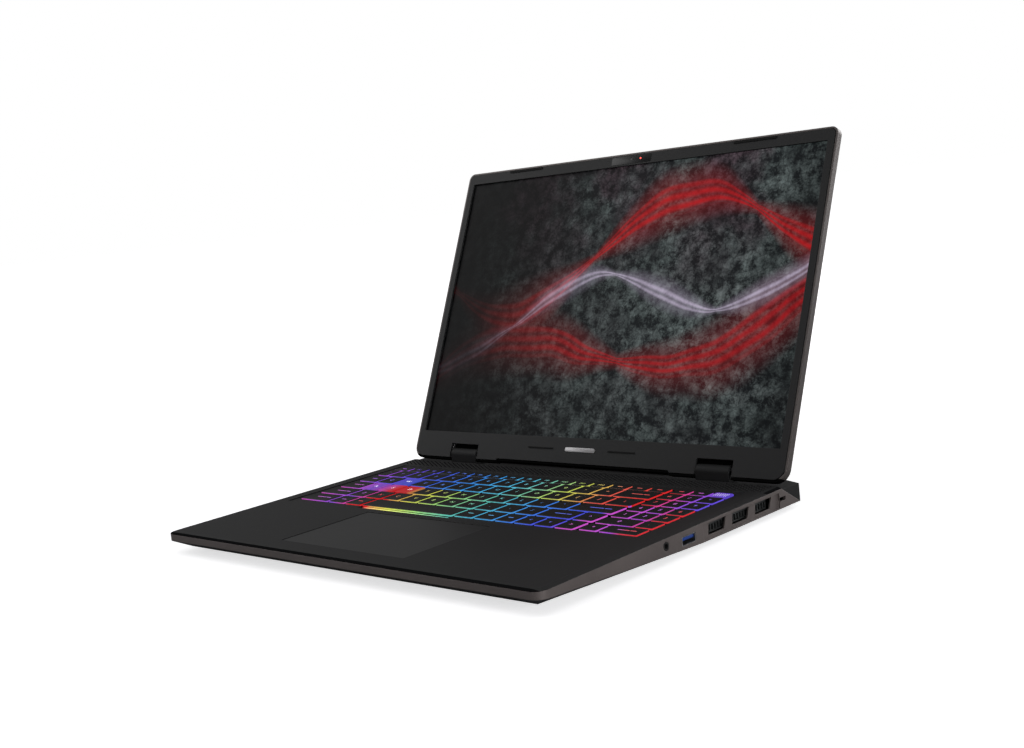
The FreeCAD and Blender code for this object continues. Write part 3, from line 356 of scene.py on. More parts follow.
looks = {
    # the deck and the lid carry painted shade on their rims, in the boxes above
    "deckBlack": {"dark": (28, 28, 29), "light": (37, 37, 38), "worn": (82, 82, 84), "scale": 1500.0,
                  "stretch": (0.25, 1, 1), "patch": 9.0, "rough": (0.5, 0.6), "bump": 0.25, "depth": 0.03,
                  "shine": 0.3, "edge": 0.5, "rub": 0.6, "paintedShade": "deckPaintedShade", "paintedShadeTone": (24, 24, 25)},
    "padBlack": {"dark": (30, 30, 31), "light": (38, 38, 39), "worn": (90, 90, 92), "scale": 2200.0,
                 "patch": 6.0, "rough": (0.36, 0.44), "bump": 0.12, "depth": 0.02, "shine": 0.4,
                 "edge": 0.3, "rub": 1.2},
    "frameGrey": {"dark": (96, 89, 88), "light": (112, 104, 102), "worn": (148, 141, 138), "scale": 2400.0,
                  "patch": 18.0, "rough": (0.42, 0.55), "bump": 0.35, "depth": 0.04, "metal": 0.45,
                  "edge": 0.45, "rub": 0.8},
    "lidGrey": {"dark": (82, 76, 75), "light": (97, 90, 88), "worn": (136, 128, 125), "scale": 1800.0,
                "stretch": (0.15, 1, 1), "patch": 8.0, "rough": (0.38, 0.5), "bump": 0.25, "depth": 0.03,
                "metal": 0.5, "edge": 0.4, "rub": 0.7, "paintedShade": "lidPaintedShade", "paintedShadeTone": (13, 13, 13)},
    "bottomBlack": {"dark": (22, 22, 23), "light": (32, 32, 33), "worn": (70, 70, 72), "scale": 1300.0,
                    "patch": 20.0, "rough": (0.55, 0.7), "bump": 0.5, "depth": 0.06, "shine": 0.3,
                    "edge": 0.4},
    "rearBlack": {"dark": (26, 26, 27), "light": (34, 34, 35), "worn": (70, 70, 72), "scale": 1500.0,
                  "rough": (0.55, 0.68), "bump": 0.4, "depth": 0.05, "shine": 0.2, "edge": 0.4, "rub": 0.7},
    "bezelBlack": {"dark": (28, 28, 29), "light": (37, 37, 38), "worn": (74, 74, 76), "scale": 2600.0,
                   "patch": 7.0, "rough": (0.5, 0.6), "bump": 0.4, "depth": 0.03, "shine": 0.25,
                   "edge": 0.3, "rub": 0.7},
    "keyBlack": {"dark": (17, 17, 18), "light": (25, 25, 26), "worn": (52, 52, 54), "scale": 3000.0,
                 "patch": 60.0, "rough": (0.48, 0.62), "bump": 0.35, "depth": 0.03, "shine": 0.35,
                 "edge": 0.2},
    "plateMetal": {"dark": (8, 8, 9), "light": (15, 15, 16), "worn": (36, 36, 38), "scale": 900.0,
                   "rough": (0.6, 0.75), "shine": 0.25},
    "footRubber": {"dark": (14, 14, 14), "light": (24, 24, 24), "worn": (60, 60, 60), "scale": 1100.0,
                   "rough": (0.75, 0.9), "bump": 0.6, "depth": 0.08, "shine": 0.25},
    "screwSteel": {"dark": (70, 70, 72), "light": (110, 110, 112), "worn": (190, 190, 190), "scale": 1600.0,
                   "rough": (0.25, 0.4), "metal": 0.9, "edge": 0.15},
    "hingeSteel": {"dark": (98, 98, 100), "light": (132, 132, 134), "worn": (200, 200, 200), "scale": 1200.0,
                   "stretch": (0.1, 1, 1), "rough": (0.25, 0.4), "metal": 0.95, "edge": 0.2},
    "socketSteel": {"dark": (120, 122, 125), "light": (156, 158, 161), "worn": (196, 196, 199),
                    "scale": 1500.0, "rough": (0.3, 0.45), "metal": 0.95, "edge": 0.12},
    "boardGreen": {"dark": (10, 34, 26), "light": (18, 58, 42), "worn": (120, 112, 60), "scale": 420.0,
                   "patch": 220.0, "rough": (0.35, 0.5), "bump": 0.6, "depth": 0.08, "edge": 0.2},
    "chipBlack": {"dark": (18, 18, 20), "light": (34, 34, 37), "worn": (90, 90, 94), "scale": 1800.0,
                  "rough": (0.25, 0.4), "bump": 0.2, "edge": 0.15},
    "copperPipe": {"dark": (150, 84, 52), "light": (188, 112, 74), "worn": (228, 168, 132), "scale": 700.0,
                   "stretch": (0.2, 1, 1), "rough": (0.22, 0.4), "metal": 0.95, "edge": 0.5},
    "finMetal": {"dark": (66, 68, 68), "light": (92, 95, 95), "worn": (120, 120, 122), "scale": 900.0,
                 "rough": (0.4, 0.55), "metal": 0.7, "edge": 0.15},
    "batteryWrap": {"dark": (20, 22, 25), "light": (31, 33, 37), "worn": (70, 72, 76), "scale": 600.0,
                    "patch": 30.0, "rough": (0.4, 0.6), "bump": 0.5, "depth": 0.1, "edge": 0.8},
    "innerPlastic": {"dark": (22, 22, 23), "light": (36, 36, 37), "worn": (74, 74, 76), "scale": 1100.0,
                     "rough": (0.45, 0.6), "edge": 0.25},
    "lightSheet": {"dark": (150, 152, 156), "light": (196, 198, 202), "worn": (230, 230, 232),
                   "scale": 1300.0, "rough": (0.4, 0.6), "edge": 0.2},
    "cameraGlass": {"dark": (6, 6, 8), "light": (11, 11, 13), "worn": (34, 34, 38), "scale": 600.0,
                    "rough": (0.26, 0.34), "bump": 0.02, "shine": 0.3, "edge": 0.15},
    "markPale": {"dark": (150, 148, 150), "light": (182, 180, 182), "worn": (214, 212, 214),
                 "scale": 1600.0, "stretch": (0.2, 1, 1), "rough": (0.28, 0.4), "metal": 0.5, "edge": 0.1},
    "socketBlue": {"dark": (12, 48, 118), "light": (20, 66, 150), "worn": (70, 110, 190), "scale": 1500.0,
                   "rough": (0.35, 0.5), "edge": 0.12},
    "contactGold": {"dark": (168, 128, 56), "light": (206, 164, 84), "worn": (236, 206, 140),
                    "scale": 1500.0, "rough": (0.2, 0.3), "metal": 0.95, "edge": 0.05},
}
finishes = {name: grainFinish(name, look) for name, look in looks.items()}

# the light of the keys runs through the colours from left to right, one run for the upper rows, one below
upperLight = [
    (-160, (168, 82, 205)), (-135, (112, 82, 214)), (-110, (74, 80, 208)), (-80, (62, 108, 216)),
    (-45, (58, 150, 222)), (-10, (84, 182, 206)), (15, (128, 196, 150)), (36, (190, 212, 92)),
    (60, (214, 172, 88)), (74, (216, 92, 78)), (112, (208, 38, 42)), (123, (208, 44, 60)),
    (134, (204, 80, 190)), (146, (132, 80, 216)), (162, (96, 76, 218)),
]
lowerLight = [
    (-160, (198, 80, 182)), (-135, (168, 84, 208)), (-124, (128, 78, 208)), (-112, (196, 74, 168)),
    (-104, (208, 40, 48)), (-88, (206, 30, 36)), (-84, (206, 48, 46)), (-80, (212, 150, 84)),
    (-60, (206, 212, 88)),
    (-32, (150, 206, 120)), (0, (94, 186, 172)), (26, (72, 164, 208)), (55, (62, 122, 222)),
    (76, (70, 84, 212)), (93, (84, 80, 212)), (99, (196, 82, 200)), (113, (202, 84, 196)),
    (128, (190, 84, 206)),
    (140, (160, 78, 210)), (148, (208, 58, 78)), (162, (208, 42, 48)),
]


def colorRun(tree, source, stops):
    node = tree.nodes.new("ShaderNodeValToRGB")
    ramp = node.color_ramp
    for spare in range(len(stops) - 2):
        ramp.elements.new(0.5)
    for element, (across, color) in zip(ramp.elements, stops):
        element.position = (across + 180) / 360
        element.color = tone(*color)
    tree.links.new(source, node.inputs["Fac"])
    return node.outputs["Color"]


def makeRowLight():
    group, into, out = newGroup("rowLight", [("Whiten", "Float", 0.0)], [("Color", "Color")])
    spot = group.nodes.new("ShaderNodeTexCoord")
    parts = group.nodes.new("ShaderNodeSeparateXYZ")
    group.links.new(spot.outputs["Object"], parts.inputs["Vector"])
    across = ranged(group, parts.outputs["X"], -0.18, 0.18)
    upper = colorRun(group, across, upperLight)
    window = math2(group, "MULTIPLY", ranged(group, parts.outputs["X"], 0.055, 0.07),
                   ranged(group, parts.outputs["X"], 0.1125, 0.1105))
    behind = ranged(group, parts.outputs["Y"], frontY + 0.113, frontY + 0.151, 0.0, 0.035)
    slid = math2(group, "SUBTRACT", across, math2(group, "MULTIPLY", window, behind))
    lower = colorRun(group, slid, lowerLight)
    border = ranged(group, parts.outputs["X"], 0.108, 0.114, frontY + 0.1605, frontY + 0.1670)
    above = math2(group, "GREATER_THAN", parts.outputs["Y"], border)
    color = blended(group, above, lower, upper)
    grain = noise(group, spot.outputs["Object"], 420.0, 2.0)
    speck = ranged(group, grain.outputs["Fac"], 0.3, 0.7, 0.82, 1.12)
    bright = group.nodes.new("ShaderNodeVectorMath")
    bright.operation = "SCALE"
    group.links.new(color, bright.inputs[0])
    group.links.new(speck, bright.inputs["Scale"])
    pale = blended(group, into.outputs["Whiten"], bright.outputs["Vector"], (1.0, 1.0, 1.0, 1.0))
    group.links.new(pale, out.inputs["Color"])
    return group


rowLight = makeRowLight()


def litFinish(name, look):
    finish, tree, shader = newFinish(name)
    light = tree.nodes.new("ShaderNodeGroup")
    light.node_tree = rowLight
    light.inputs["Whiten"].default_value = look["whiten"]
    body = blended(tree, look["body"], tone(8, 8, 9), light.outputs["Color"])
    tree.links.new(body, shader.inputs["Base Color"])
    tree.links.new(light.outputs["Color"], shader.inputs["Emission Color"])
    shader.inputs["Emission Strength"].default_value = look["glow"]
    shader.inputs["Roughness"].default_value = look["rough"]
    shader.inputs["Specular IOR Level"].default_value = 0.2
    return finish


litLooks = {
    "keySkirt": {"glow": 0.95, "whiten": 0.0, "body": 0.3, "rough": 0.45},
    "keyLegend": {"glow": 1.3, "whiten": 0.05, "body": 0.3, "rough": 0.5},
    "keyClear": {"glow": 0.7, "whiten": 0.0, "body": 0.08, "rough": 0.5},
    "hotLegend": {"glow": 1.5, "whiten": 0.75, "body": 0.5, "rough": 0.4},
    "spaceGlow": {"glow": 1.5, "whiten": 0.05, "body": 0.4, "rough": 0.4},
}
for name, look in litLooks.items():
    finishes[name] = litFinish(name, look)


def makeStatusRed():
    finish, tree, shader = newFinish("statusRed")
    spot = tree.nodes.new("ShaderNodeTexCoord")
    grain = noise(tree, spot.outputs["Object"], 3000.0)
    color = blended(tree, grain.outputs["Fac"], tone(255, 30, 26), tone(255, 96, 84))
    tree.links.new(color, shader.inputs["Emission Color"])
    tree.links.new(color, shader.inputs["Base Color"])
    shader.inputs["Emission Strength"].default_value = 3.0
    return finish


finishes["statusRed"] = makeStatusRed()

# the picture on the screen: dark slate with waving ribbons of light; lengths in 100 mm on the panel
pictureRibbons = [
    {"base": 1.62, "lean": 0.10, "rise": 0.36, "turns": 1.9, "phase": 0.4, "wide": 0.17, "twist": 2.3,
     "strands": 13.0, "strength": 0.95, "color": (182, 18, 24)},
    {"base": 0.88, "lean": 0.22, "rise": 0.30, "turns": 1.6, "phase": 3.4, "wide": 0.21, "twist": 1.7,
     "strands": 15.0, "strength": 0.9, "color": (168, 16, 24)},
    {"base": 1.24, "lean": 0.16, "rise": 0.24, "turns": 2.2, "phase": 2.1, "wide": 0.085, "twist": 2.9,
     "strands": 9.0, "strength": 0.8, "color": (196, 184, 208)},
]


def makeScreenPicture():
    group, into, out = newGroup("screenPicture", [("Fine", "Float", 11.0)], [("Color", "Color")])
    tree = group
    spot = tree.nodes.new("ShaderNodeTexCoord")
    panel = tree.nodes.new("ShaderNodeMapping")
    panel.vector_type = "TEXTURE"
    panel.inputs["Location"].default_value = pivot
    panel.inputs["Rotation"].default_value = (lidLean, 0, 0)
    panel.inputs["Scale"].default_value = (0.1, 0.1, 0.1)
    tree.links.new(spot.outputs["Object"], panel.inputs["Vector"])
    flat = panel.outputs["Vector"]
    sides = tree.nodes.new("ShaderNodeSeparateXYZ")
    tree.links.new(flat, sides.inputs["Vector"])
    across, up = sides.outputs["X"], sides.outputs["Y"]
    stones = noise(tree, flat, into.outputs["Fine"], 9.0, 0.78)
    patches = noise(tree, flat, 1.6, 4.0)
    lumps = noise(tree, flat, 4.6, 5.0)
    cracks = tree.nodes.new("ShaderNodeTexVoronoi")
    cracks.feature = "DISTANCE_TO_EDGE"
    cracks.inputs["Scale"].default_value = 11.0
    bent = tree.nodes.new("ShaderNodeVectorMath")
    bent.operation = "MULTIPLY_ADD"
    bent.inputs[1].default_value = (0.16, 0.16, 0.16)
    tree.links.new(lumps.outputs["Color"], bent.inputs[0])
    tree.links.new(flat, bent.inputs[2])
    tree.links.new(bent.outputs["Vector"], cracks.inputs["Vector"])
    crack = ranged(tree, cracks.outputs["Distance"], 0.0, 0.07, 0.45, 1.0)
    rough = math2(tree, "MULTIPLY", ranged(tree, stones.outputs["Fac"], 0.43, 0.66), crack)
    stone = math2(tree, "MULTIPLY", rough, ranged(tree, lumps.outputs["Fac"], 0.34, 0.62, 0.35, 1.0))
    ground = blended(tree, stone, tone(20, 24, 26), tone(112, 123, 122))
    murk = blended(tree, stone, tone(22, 16, 20), tone(98, 84, 92))
    high = ranged(tree, up, 1.25, 2.1)
    tint = math2(tree, "MULTIPLY", ranged(tree, patches.outputs["Fac"], 0.42, 0.6),
                 math2(tree, "ADD", high, 0.25), clamp=True)
    color = blended(tree, tint, ground, murk)
    dim = math2(tree, "MULTIPLY", ranged(tree, across, -1.6, 0.6, 0.04, 1.0, True),
                ranged(tree, up, 0.1, 0.9, 0.8, 1.0, True))
    dim = math2(tree, "MULTIPLY", dim, ranged(tree, across, 1.2, 1.75, 1.0, 0.62, True))
    shade = tree.nodes.new("ShaderNodeVectorMath")
    shade.operation = "SCALE"
    tree.links.new(color, shade.inputs[0])
    tree.links.new(dim, shade.inputs["Scale"])
    color = shade.outputs["Vector"]
    wobble = noise(tree, flat, 1.3, 1.0)
    bend = ranged(tree, wobble.outputs["Fac"], 0.3, 0.7, -0.04, 0.04)
    fade = ranged(tree, across, -1.5, 0.1, 0.04, 1.0, True)
    for ribbon in pictureRibbons:
        turn = math2(tree, "ADD", math2(tree, "MULTIPLY", across, ribbon["turns"]), ribbon["phase"])
        wave = math2(tree, "MULTIPLY", math2(tree, "SINE", turn), ribbon["rise"])
        line = math2(tree, "ADD", wave, math2(tree, "MULTIPLY", across, ribbon["lean"]))
        line = math2(tree, "ADD", math2(tree, "ADD", line, ribbon["base"]), bend)
        swing = math2(tree, "SINE", math2(tree, "MULTIPLY", turn, ribbon["twist"] / 2))
        flare = math2(tree, "ABSOLUTE", swing)
        width = math2(tree, "ADD", math2(tree, "MULTIPLY", flare, ribbon["wide"] * 0.8), ribbon["wide"] * 0.2)
        side = math2(tree, "DIVIDE", math2(tree, "SUBTRACT", up, line), width)
        core = ranged(tree, math2(tree, "ABSOLUTE", side), 1.0, 0.35, 0.0, 1.0, True)
        halo = ranged(tree, math2(tree, "ABSOLUTE", side), 1.9, 0.6, 0.0, 0.22, True)
        silk = math2(tree, "SINE", math2(tree, "MULTIPLY", side, ribbon["strands"]))
        core = math2(tree, "MULTIPLY", core, ranged(tree, silk, -1.0, 1.0, 0.4, 1.0))
        band = math2(tree, "MAXIMUM", core, halo)
        band = math2(tree, "MULTIPLY", band, ranged(tree, stones.outputs["Fac"], 0.35, 0.6, 0.6, 1.0))
        band = math2(tree, "MULTIPLY", math2(tree, "MULTIPLY", band, ribbon["strength"]), fade)
        color = blended(tree, band, color, tone(*ribbon["color"]))
    tree.links.new(color, out.inputs["Color"])
    return group


def makeScreenFinish():
    finish, tree, shader = newFinish("screenGlass")
    picture = tree.nodes.new("ShaderNodeGroup")
    picture.node_tree = makeScreenPicture()
    grain = tree.nodes.new("ShaderNodeGroup")
    grain.node_tree = surfaceGrain
    grain.inputs["Scale"].default_value = 2600.0
    grain.inputs["Dark"].default_value = tone(3, 3, 4)
    grain.inputs["Light"].default_value = tone(6, 6, 7)
    grain.inputs["Rough Low"].default_value = 0.34
    grain.inputs["Rough High"].default_value = 0.42
    tree.links.new(grain.outputs["Color"], shader.inputs["Base Color"])
    tree.links.new(grain.outputs["Roughness"], shader.inputs["Roughness"])
    tree.links.new(picture.outputs["Color"], shader.inputs["Emission Color"])
    shader.inputs["Emission Strength"].default_value = 0.9
    shader.inputs["Specular IOR Level"].default_value = 0.05
    return finish


finishes["screenGlass"] = makeScreenFinish()
print("finishes made:", len(finishes))

# keys: a black cap with a clear lit skirt; the rows follow the deck, lengths in mm
capLook = {"low": -1.2, "lit": -0.15, "high": 0.3, "corner": 1.1, "taper": 0.42, "edge": 0.22,
           "rim": 0.8, "dish": 0.14, "gap": 2.6, "pitch": 19.05, "left": -160.5, "legend": 4.7}
keyRows = {
    "function": (203.1, 9.6, [0.8987] * 16),
    "number": (189.1, 16.45, [0.6457] + [1.0] * 12 + [1.7323]),
    "letter": (170.05, 16.45, [1.115] + [1.0] * 12 + [1.263]),
    "home": (151.0, 16.45, [1.3123] + [1.0] * 11 + [2.0656]),
    "shift": (131.95, 16.45, [1.7323] + [1.0] * 10 + [1.6457, 1.0]),
    "bottom": (112.9, 16.45, [1.7323, 1.0, 1.0, 5.0, 1.0, 1.0] + [0.9113] * 4),
}
keyMarks = {  # single letters and digits; None gives a short lit bar
    "function": [None] + ["F%d" % n for n in range(1, 13)] + [None] * 3,
    "number": ["`"] + list("1234567890-=") + [None],
    "letter": [None] + list("QWERTYUIOP[]") + ["\\"],
    "home": [None] + list("ASDFGHJKL;'") + [None],
    "shift": [None] + list("ZXCVBNM,./") + [None, "^"],
    "bottom": [None] * 3 + [""] + [None] * 2 + [None, "<", "v", ">"],
}
ownKeys = {("letter", 2): "key_w", ("home", 1): "key_a", ("home", 2): "key_s", ("home", 3): "key_d",
           ("bottom", 3): "key_space", ("home", 12): "key_enter", ("number", 13): "key_backspace"}
padLook = {"left": 113.75, "column": 15.9, "top": 190.0, "pitch": 15.44, "inset": 1.2, "depth": 13.2,
           "marks": [["#", "/", "*"], ["7", "8", "9"], ["4", "5", "6"], ["1", "2", "3"], ["0", "", "."],
                     ["+", None, ""]]}
clearKeys = ("key_w", "key_a", "key_s", "key_d", "key_power")
capModels = {}


def modelCap(width, depth):
    size = (round(width, 2), round(depth, 2))
    if size in capModels:
        return capModels[size]
    look = capLook
    cap = addBlock("cap", (-width / 2 * mm, -depth / 2 * mm, look["low"] * mm),
                   (width / 2 * mm, depth / 2 * mm, look["lit"] * mm))
    startEdit(cap)
    pickEdges(cap, lambda middle, along: abs(along.z) > 0.9)
    bpy.ops.mesh.bevel(offset=look["corner"] * mm, segments=3, affect="EDGES")
    pickFaces(cap, lambda middle, normal: normal.z > 0.9)
    rise = (look["high"] - look["lit"]) * mm
    bpy.ops.mesh.extrude_region_move(TRANSFORM_OT_translate={"value": (0, 0, rise)})
    shrink = [1 - 2 * look["taper"] / side for side in (width, depth)]
    bpy.ops.transform.resize(value=(shrink[0], shrink[1], 1), center_override=(0, 0, 0))
    pickEdges(cap, lambda middle, along: abs(along.z) < 0.1 and middle.z > (look["high"] - 0.05) * mm)
    bpy.ops.mesh.bevel(offset=look["edge"] * mm, segments=2, affect="EDGES")
    pickFaces(cap, lambda middle, normal: normal.z > 0.99 and middle.z > (look["high"] - 0.05) * mm)
    bpy.ops.mesh.inset(thickness=look["rim"] * mm)
    bpy.ops.transform.translate(value=(0, 0, -look["dish"] * mm))
    endEdit()
    smoothed(cap)
    coat(cap, finishes["keyBlack"], finishes["keySkirt"])
    for face in cap.data.polygons:
        face.material_index = 1 if abs(face.normal.z) < 0.5 and face.center.z < look["lit"] * mm else 0
    cap.hide_render = True
    capModels[size] = cap
    return cap


def markLetter(words, size):
    clearSelection()
    bpy.ops.object.text_add(location=(0, 0, 0))
    mark = bpy.context.active_object
    mark.data.body = words
    mark.data.size = size * mm
    mark.data.resolution_u = 3
    mark.data.align_x = "CENTER"
    mark.data.align_y = "CENTER"
    bpy.ops.object.convert(target="MESH")
    return bpy.context.active_object


def markBar(long, tall):
    clearSelection()
    bpy.ops.mesh.primitive_plane_add(size=1)
    mark = bpy.context.active_object
    mark.scale = (long * mm, tall * mm, 1)
    bpy.ops.object.transform_apply(location=True, rotation=True, scale=True)
    startEdit(mark)
    bpy.ops.mesh.select_all(action="SELECT")
    bpy.ops.mesh.bevel(offset=tall * 0.45 * mm, segments=3, affect="VERTICES")
    endEdit()
    return mark


def legendPieces(mark, width, depth, spot, clear):
    pieces = []
    size = min(capLook["legend"], depth * 0.4)
    level = (capLook["high"] - capLook["dish"] + 0.03) * mm
    if mark is None:
        bars = [(0.32, 0.0), (0.16, 0.26)] if width > 20 else [(0.3, 0.0)]
        for share, aside in bars:
            bar = markBar(max(share * width, 3.4), 0.85)
            pieces.append(moved(bar, Matrix.Translation((aside * width * mm, 0, 0))))
    elif mark:
        pieces.append(markLetter(mark, size))
    for piece in pieces:
        coat(piece, finishes["hotLegend" if clear else "keyLegend"])
        moved(piece, deckPlace @ Matrix.Translation((spot[0] * mm, spot[1] * mm, level)))
    return pieces


keyGroups = {}


def placeKey(group, low, high, centre, depth, mark):
    width = high - low
    middle = (low + high) / 2
    cap = copied(modelCap(width, depth), deckPlace @ Matrix.Translation((middle * mm, centre * mm, 0)))
    cap.hide_render = False
    clear = group in clearKeys
    if clear:
        cap.data.materials[0] = finishes["keyClear"]
        cap.data.materials[1] = finishes["keyClear"]
    keyGroups.setdefault(group, []).append(cap)
    keyGroups[group] += legendPieces(mark, width, depth, (middle, centre), clear)


for row, (centre, depth, widths) in keyRows.items():
    place = 0.0
    for index, units in enumerate(widths):
        low = capLook["left"] + place * capLook["pitch"]
        high = low + units * capLook["pitch"] - capLook["gap"]
        group = ownKeys.get((row, index), "keys_%s_row" % row)
        placeKey(group, low, high, centre, depth, keyMarks[row][index])
        place += units
for column in range(3):
    low = padLook["left"] + column * padLook["column"] + padLook["inset"]
    high = padLook["left"] + (column + 1) * padLook["column"] - padLook["inset"]
    group = "key_power" if column == 2 else "keys_function_row"
    placeKey(group, low, high, 203.1, 9.6, "" if column == 2 else None)
    for level in range(6):
        if (level, column) in ((4, 1), (5, 2)):
            continue
        last = column + 2 if (level, column) in ((4, 0), (5, 1)) else column + 1
        wideHigh = padLook["left"] + last * padLook["column"] - padLook["inset"]
        placeKey("keys_number_pad", low, wideHigh, padLook["top"] - level * padLook["pitch"],
                 padLook["depth"], padLook["marks"][level][column])

# the power key is pierced by small lit dots
powerLook = {"centre": (153.5, 203.1), "columns": 7, "rows": 4, "step": (1.55, 1.5), "radius": 0.34,
             "rim": 0.1, "rise": 0.02}
clearSelection()
bpy.ops.mesh.primitive_circle_add(vertices=8, radius=powerLook["radius"] * mm, fill_type="NGON")
dot = bpy.context.active_object
startEdit(dot)
bpy.ops.mesh.select_all(action="SELECT")
bpy.ops.mesh.inset(thickness=powerLook["rim"] * mm)
bpy.ops.transform.translate(value=(0, 0, powerLook["rise"] * mm))
endEdit()
coat(dot, finishes["hotLegend"])
for column in range(powerLook["columns"]):
    for line in range(powerLook["rows"]):
        along = powerLook["centre"][0] + (column - (powerLook["columns"] - 1) / 2) * powerLook["step"][0]
        deep = powerLook["centre"][1] + (line - (powerLook["rows"] - 1) / 2) * powerLook["step"][1]
        level = capLook["high"] - capLook["dish"] + 0.03
        keyGroups["key_power"].append(
            copied(dot, deckPlace @ Matrix.Translation((along * mm, deep * mm, level * mm))))
bpy.data.objects.remove(dot)
for model in capModels.values():
    bpy.data.objects.remove(model)

for group, pieces in keyGroups.items():
    keys = joined(pieces, group.replace("_", "") + "Caps")
    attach(keys, group + "_body")
    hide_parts(group)
print("keys placed:", sum(len(pieces) for pieces in keyGroups.values()), "pieces in",
      len(keyGroups), "groups")

# light guide in front of the space bar
guideLook = {"low": (-85, 100.9, -2.15), "high": (4, 104.0, -1.0)}
guide = addBlock("spaceLightGuide", [v * mm for v in guideLook["low"]], [v * mm for v in guideLook["high"]])
startEdit(guide)
pickEdges(guide, lambda middle, along: abs(along.x) > 0.9 and middle.z > -1.5 * mm)
bpy.ops.mesh.bevel(offset=0.5 * mm, segments=3, affect="EDGES")
pickFaces(guide, lambda middle, normal: normal.x > 0.9)
bpy.ops.transform.resize(value=(1, 0.3, 0.4), center_override=(4 * mm, 104.0 * mm, -2.15 * mm))
endEdit()
smoothed(guide)
coat(guide, finishes["spaceGlow"])
moved(guide, deckPlace)
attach(guide, "base")

# camera strip in the top of the bezel: glossy window, lens in its ring, lit status dot, microphone holes
cameraLook = {"low": (-19.6, 233.9), "high": (18.9, 240.4), "face": 3.69, "proud": 0.16,
              "under": 3.5, "ring": 1.75}
dotLook = {"radius": 0.62, "low": 3.6, "high": 3.95, "spot": (8.7, 237.4), "inset": 0.2, "rise": 0.05}
ringLook = {"low": 3.6, "high": 3.98, "up": 237.4, "steps": ((0.3, -0.14), (0.25, -0.08), (0.5, 0.12))}
window = addBlock("cameraWindow", (cameraLook["low"][0] * mm, cameraLook["low"][1] * mm,
                                  cameraLook["under"] * mm),
                  (cameraLook["high"][0] * mm, cameraLook["high"][1] * mm,
                   (cameraLook["face"] + cameraLook["proud"]) * mm))
startEdit(window)
pickEdges(window, lambda middle, along: abs(along.z) > 0.9)
bpy.ops.mesh.bevel(offset=1.2 * mm, segments=5, affect="EDGES")
pickEdges(window, lambda middle, along: abs(along.z) < 0.1 and middle.z > 3.8 * mm)
bpy.ops.mesh.bevel(offset=0.07 * mm, segments=2, affect="EDGES")
endEdit()
smoothed(window)
coat(window, finishes["cameraGlass"])
ring = addRound("lensRing", cameraLook["ring"] * mm, ringLook["low"] * mm, ringLook["high"] * mm,
                (0, ringLook["up"] * mm), 40)
startEdit(ring)
pickFaces(ring, lambda middle, normal: normal.z > 0.9)
for thickness, rise in ringLook["steps"]:
    bpy.ops.mesh.inset(thickness=thickness * mm)
    bpy.ops.transform.translate(value=(0, 0, rise * mm))
endEdit()
smoothed(ring, 40)
coat(ring, finishes["chipBlack"])
spark = addRound("statusDot", dotLook["radius"] * mm, dotLook["low"] * mm, dotLook["high"] * mm,
                 [v * mm for v in dotLook["spot"]], 20)
startEdit(spark)
pickFaces(spark, lambda middle, normal: normal.z > 0.9)
bpy.ops.mesh.inset(thickness=dotLook["inset"] * mm)
bpy.ops.transform.translate(value=(0, 0, dotLook["rise"] * mm))
endEdit()
coat(spark, finishes["statusRed"])
for piece in (window, ring, spark):
    moved(piece, lidPlace)
    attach(piece, "lid")

# the microphone holes are dark discs with a shallow dip: their dark colour is painted shade for the depth of
# the holes
micLook = {"spots": (-40.6, -23.1, 28.5), "up": 238.0, "radius": 0.45, "low": 3.5, "high": 3.74,
           "sink": -0.2}
mics = []
for across in micLook["spots"]:
    hole = addRound("mic", micLook["radius"] * 1.5 * mm, micLook["low"] * mm, micLook["high"] * mm,
                    (across * mm, micLook["up"] * mm), 20)
    startEdit(hole)
    pickFaces(hole, lambda middle, normal: normal.z > 0.9)
    bpy.ops.mesh.inset(thickness=micLook["radius"] * 0.5 * mm)
    bpy.ops.transform.translate(value=(0, 0, micLook["sink"] * mm))
    endEdit()
    coat(hole, finishes["chipBlack"])
    mics.append(moved(hole, lidPlace))
mics = joined(mics, "microphoneHoles")
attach(mics, "lid")

# plain pale bar on the lower bezel
barLook = {"low": (-14.5, 6.6, 3.5), "high": (14.5, 9.9, 4.05)}
bar = addBlock("bezelBar", [v * mm for v in barLook["low"]], [v * mm for v in barLook["high"]])
startEdit(bar)
pickEdges(bar, lambda middle, along: abs(along.z) > 0.9)
bpy.ops.mesh.bevel(offset=1.3 * mm, segments=6, affect="EDGES")
pickFaces(bar, lambda middle, normal: normal.z > 0.9)
bpy.ops.mesh.bevel(offset=0.12 * mm, segments=2, affect="EDGES")
endEdit()
smoothed(bar)
coat(bar, finishes["markPale"])
moved(bar, lidPlace)
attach(bar, "lid")

# coloured contact tongues of the three data sockets
tongueLook = {"along": 131.45, "step": 22.0, "level": 9.2, "edge": 179.4, "wide": 11.5,
              "low": 0.0, "high": 2.1, "back": -14.0, "front": -0.6}
contactLook = {"low": (-9.0, -0.5, -0.16), "high": (-1.4, 0.5, 0.04), "spots": (-3.6, -1.2, 1.2, 3.6)}
tongue = addBlock("tongue", (tongueLook["back"] * mm, -tongueLook["wide"] / 2 * mm, tongueLook["low"] * mm),
                  (tongueLook["front"] * mm, tongueLook["wide"] / 2 * mm, tongueLook["high"] * mm))
startEdit(tongue)
pickEdges(tongue, lambda middle, along: middle.x > -0.7 * mm)
bpy.ops.mesh.bevel(offset=0.35 * mm, segments=3, affect="EDGES")
endEdit()
smoothed(tongue)
coat(tongue, finishes["socketBlue"])
contact = addBlock("contact", [v * mm for v in contactLook["low"]], [v * mm for v in contactLook["high"]])
startEdit(contact)
pickEdges(contact, lambda middle, along: middle.x > -1.5 * mm)
bpy.ops.mesh.bevel(offset=0.06 * mm, segments=2, affect="EDGES")
endEdit()
coat(contact, finishes["contactGold"])
contacts = [copied(contact, Matrix.Translation((0, across * mm, 0))) for across in contactLook["spots"]]
bpy.data.objects.remove(contact)
tongue = joined([tongue] + contacts, "tongue")
tongues = []
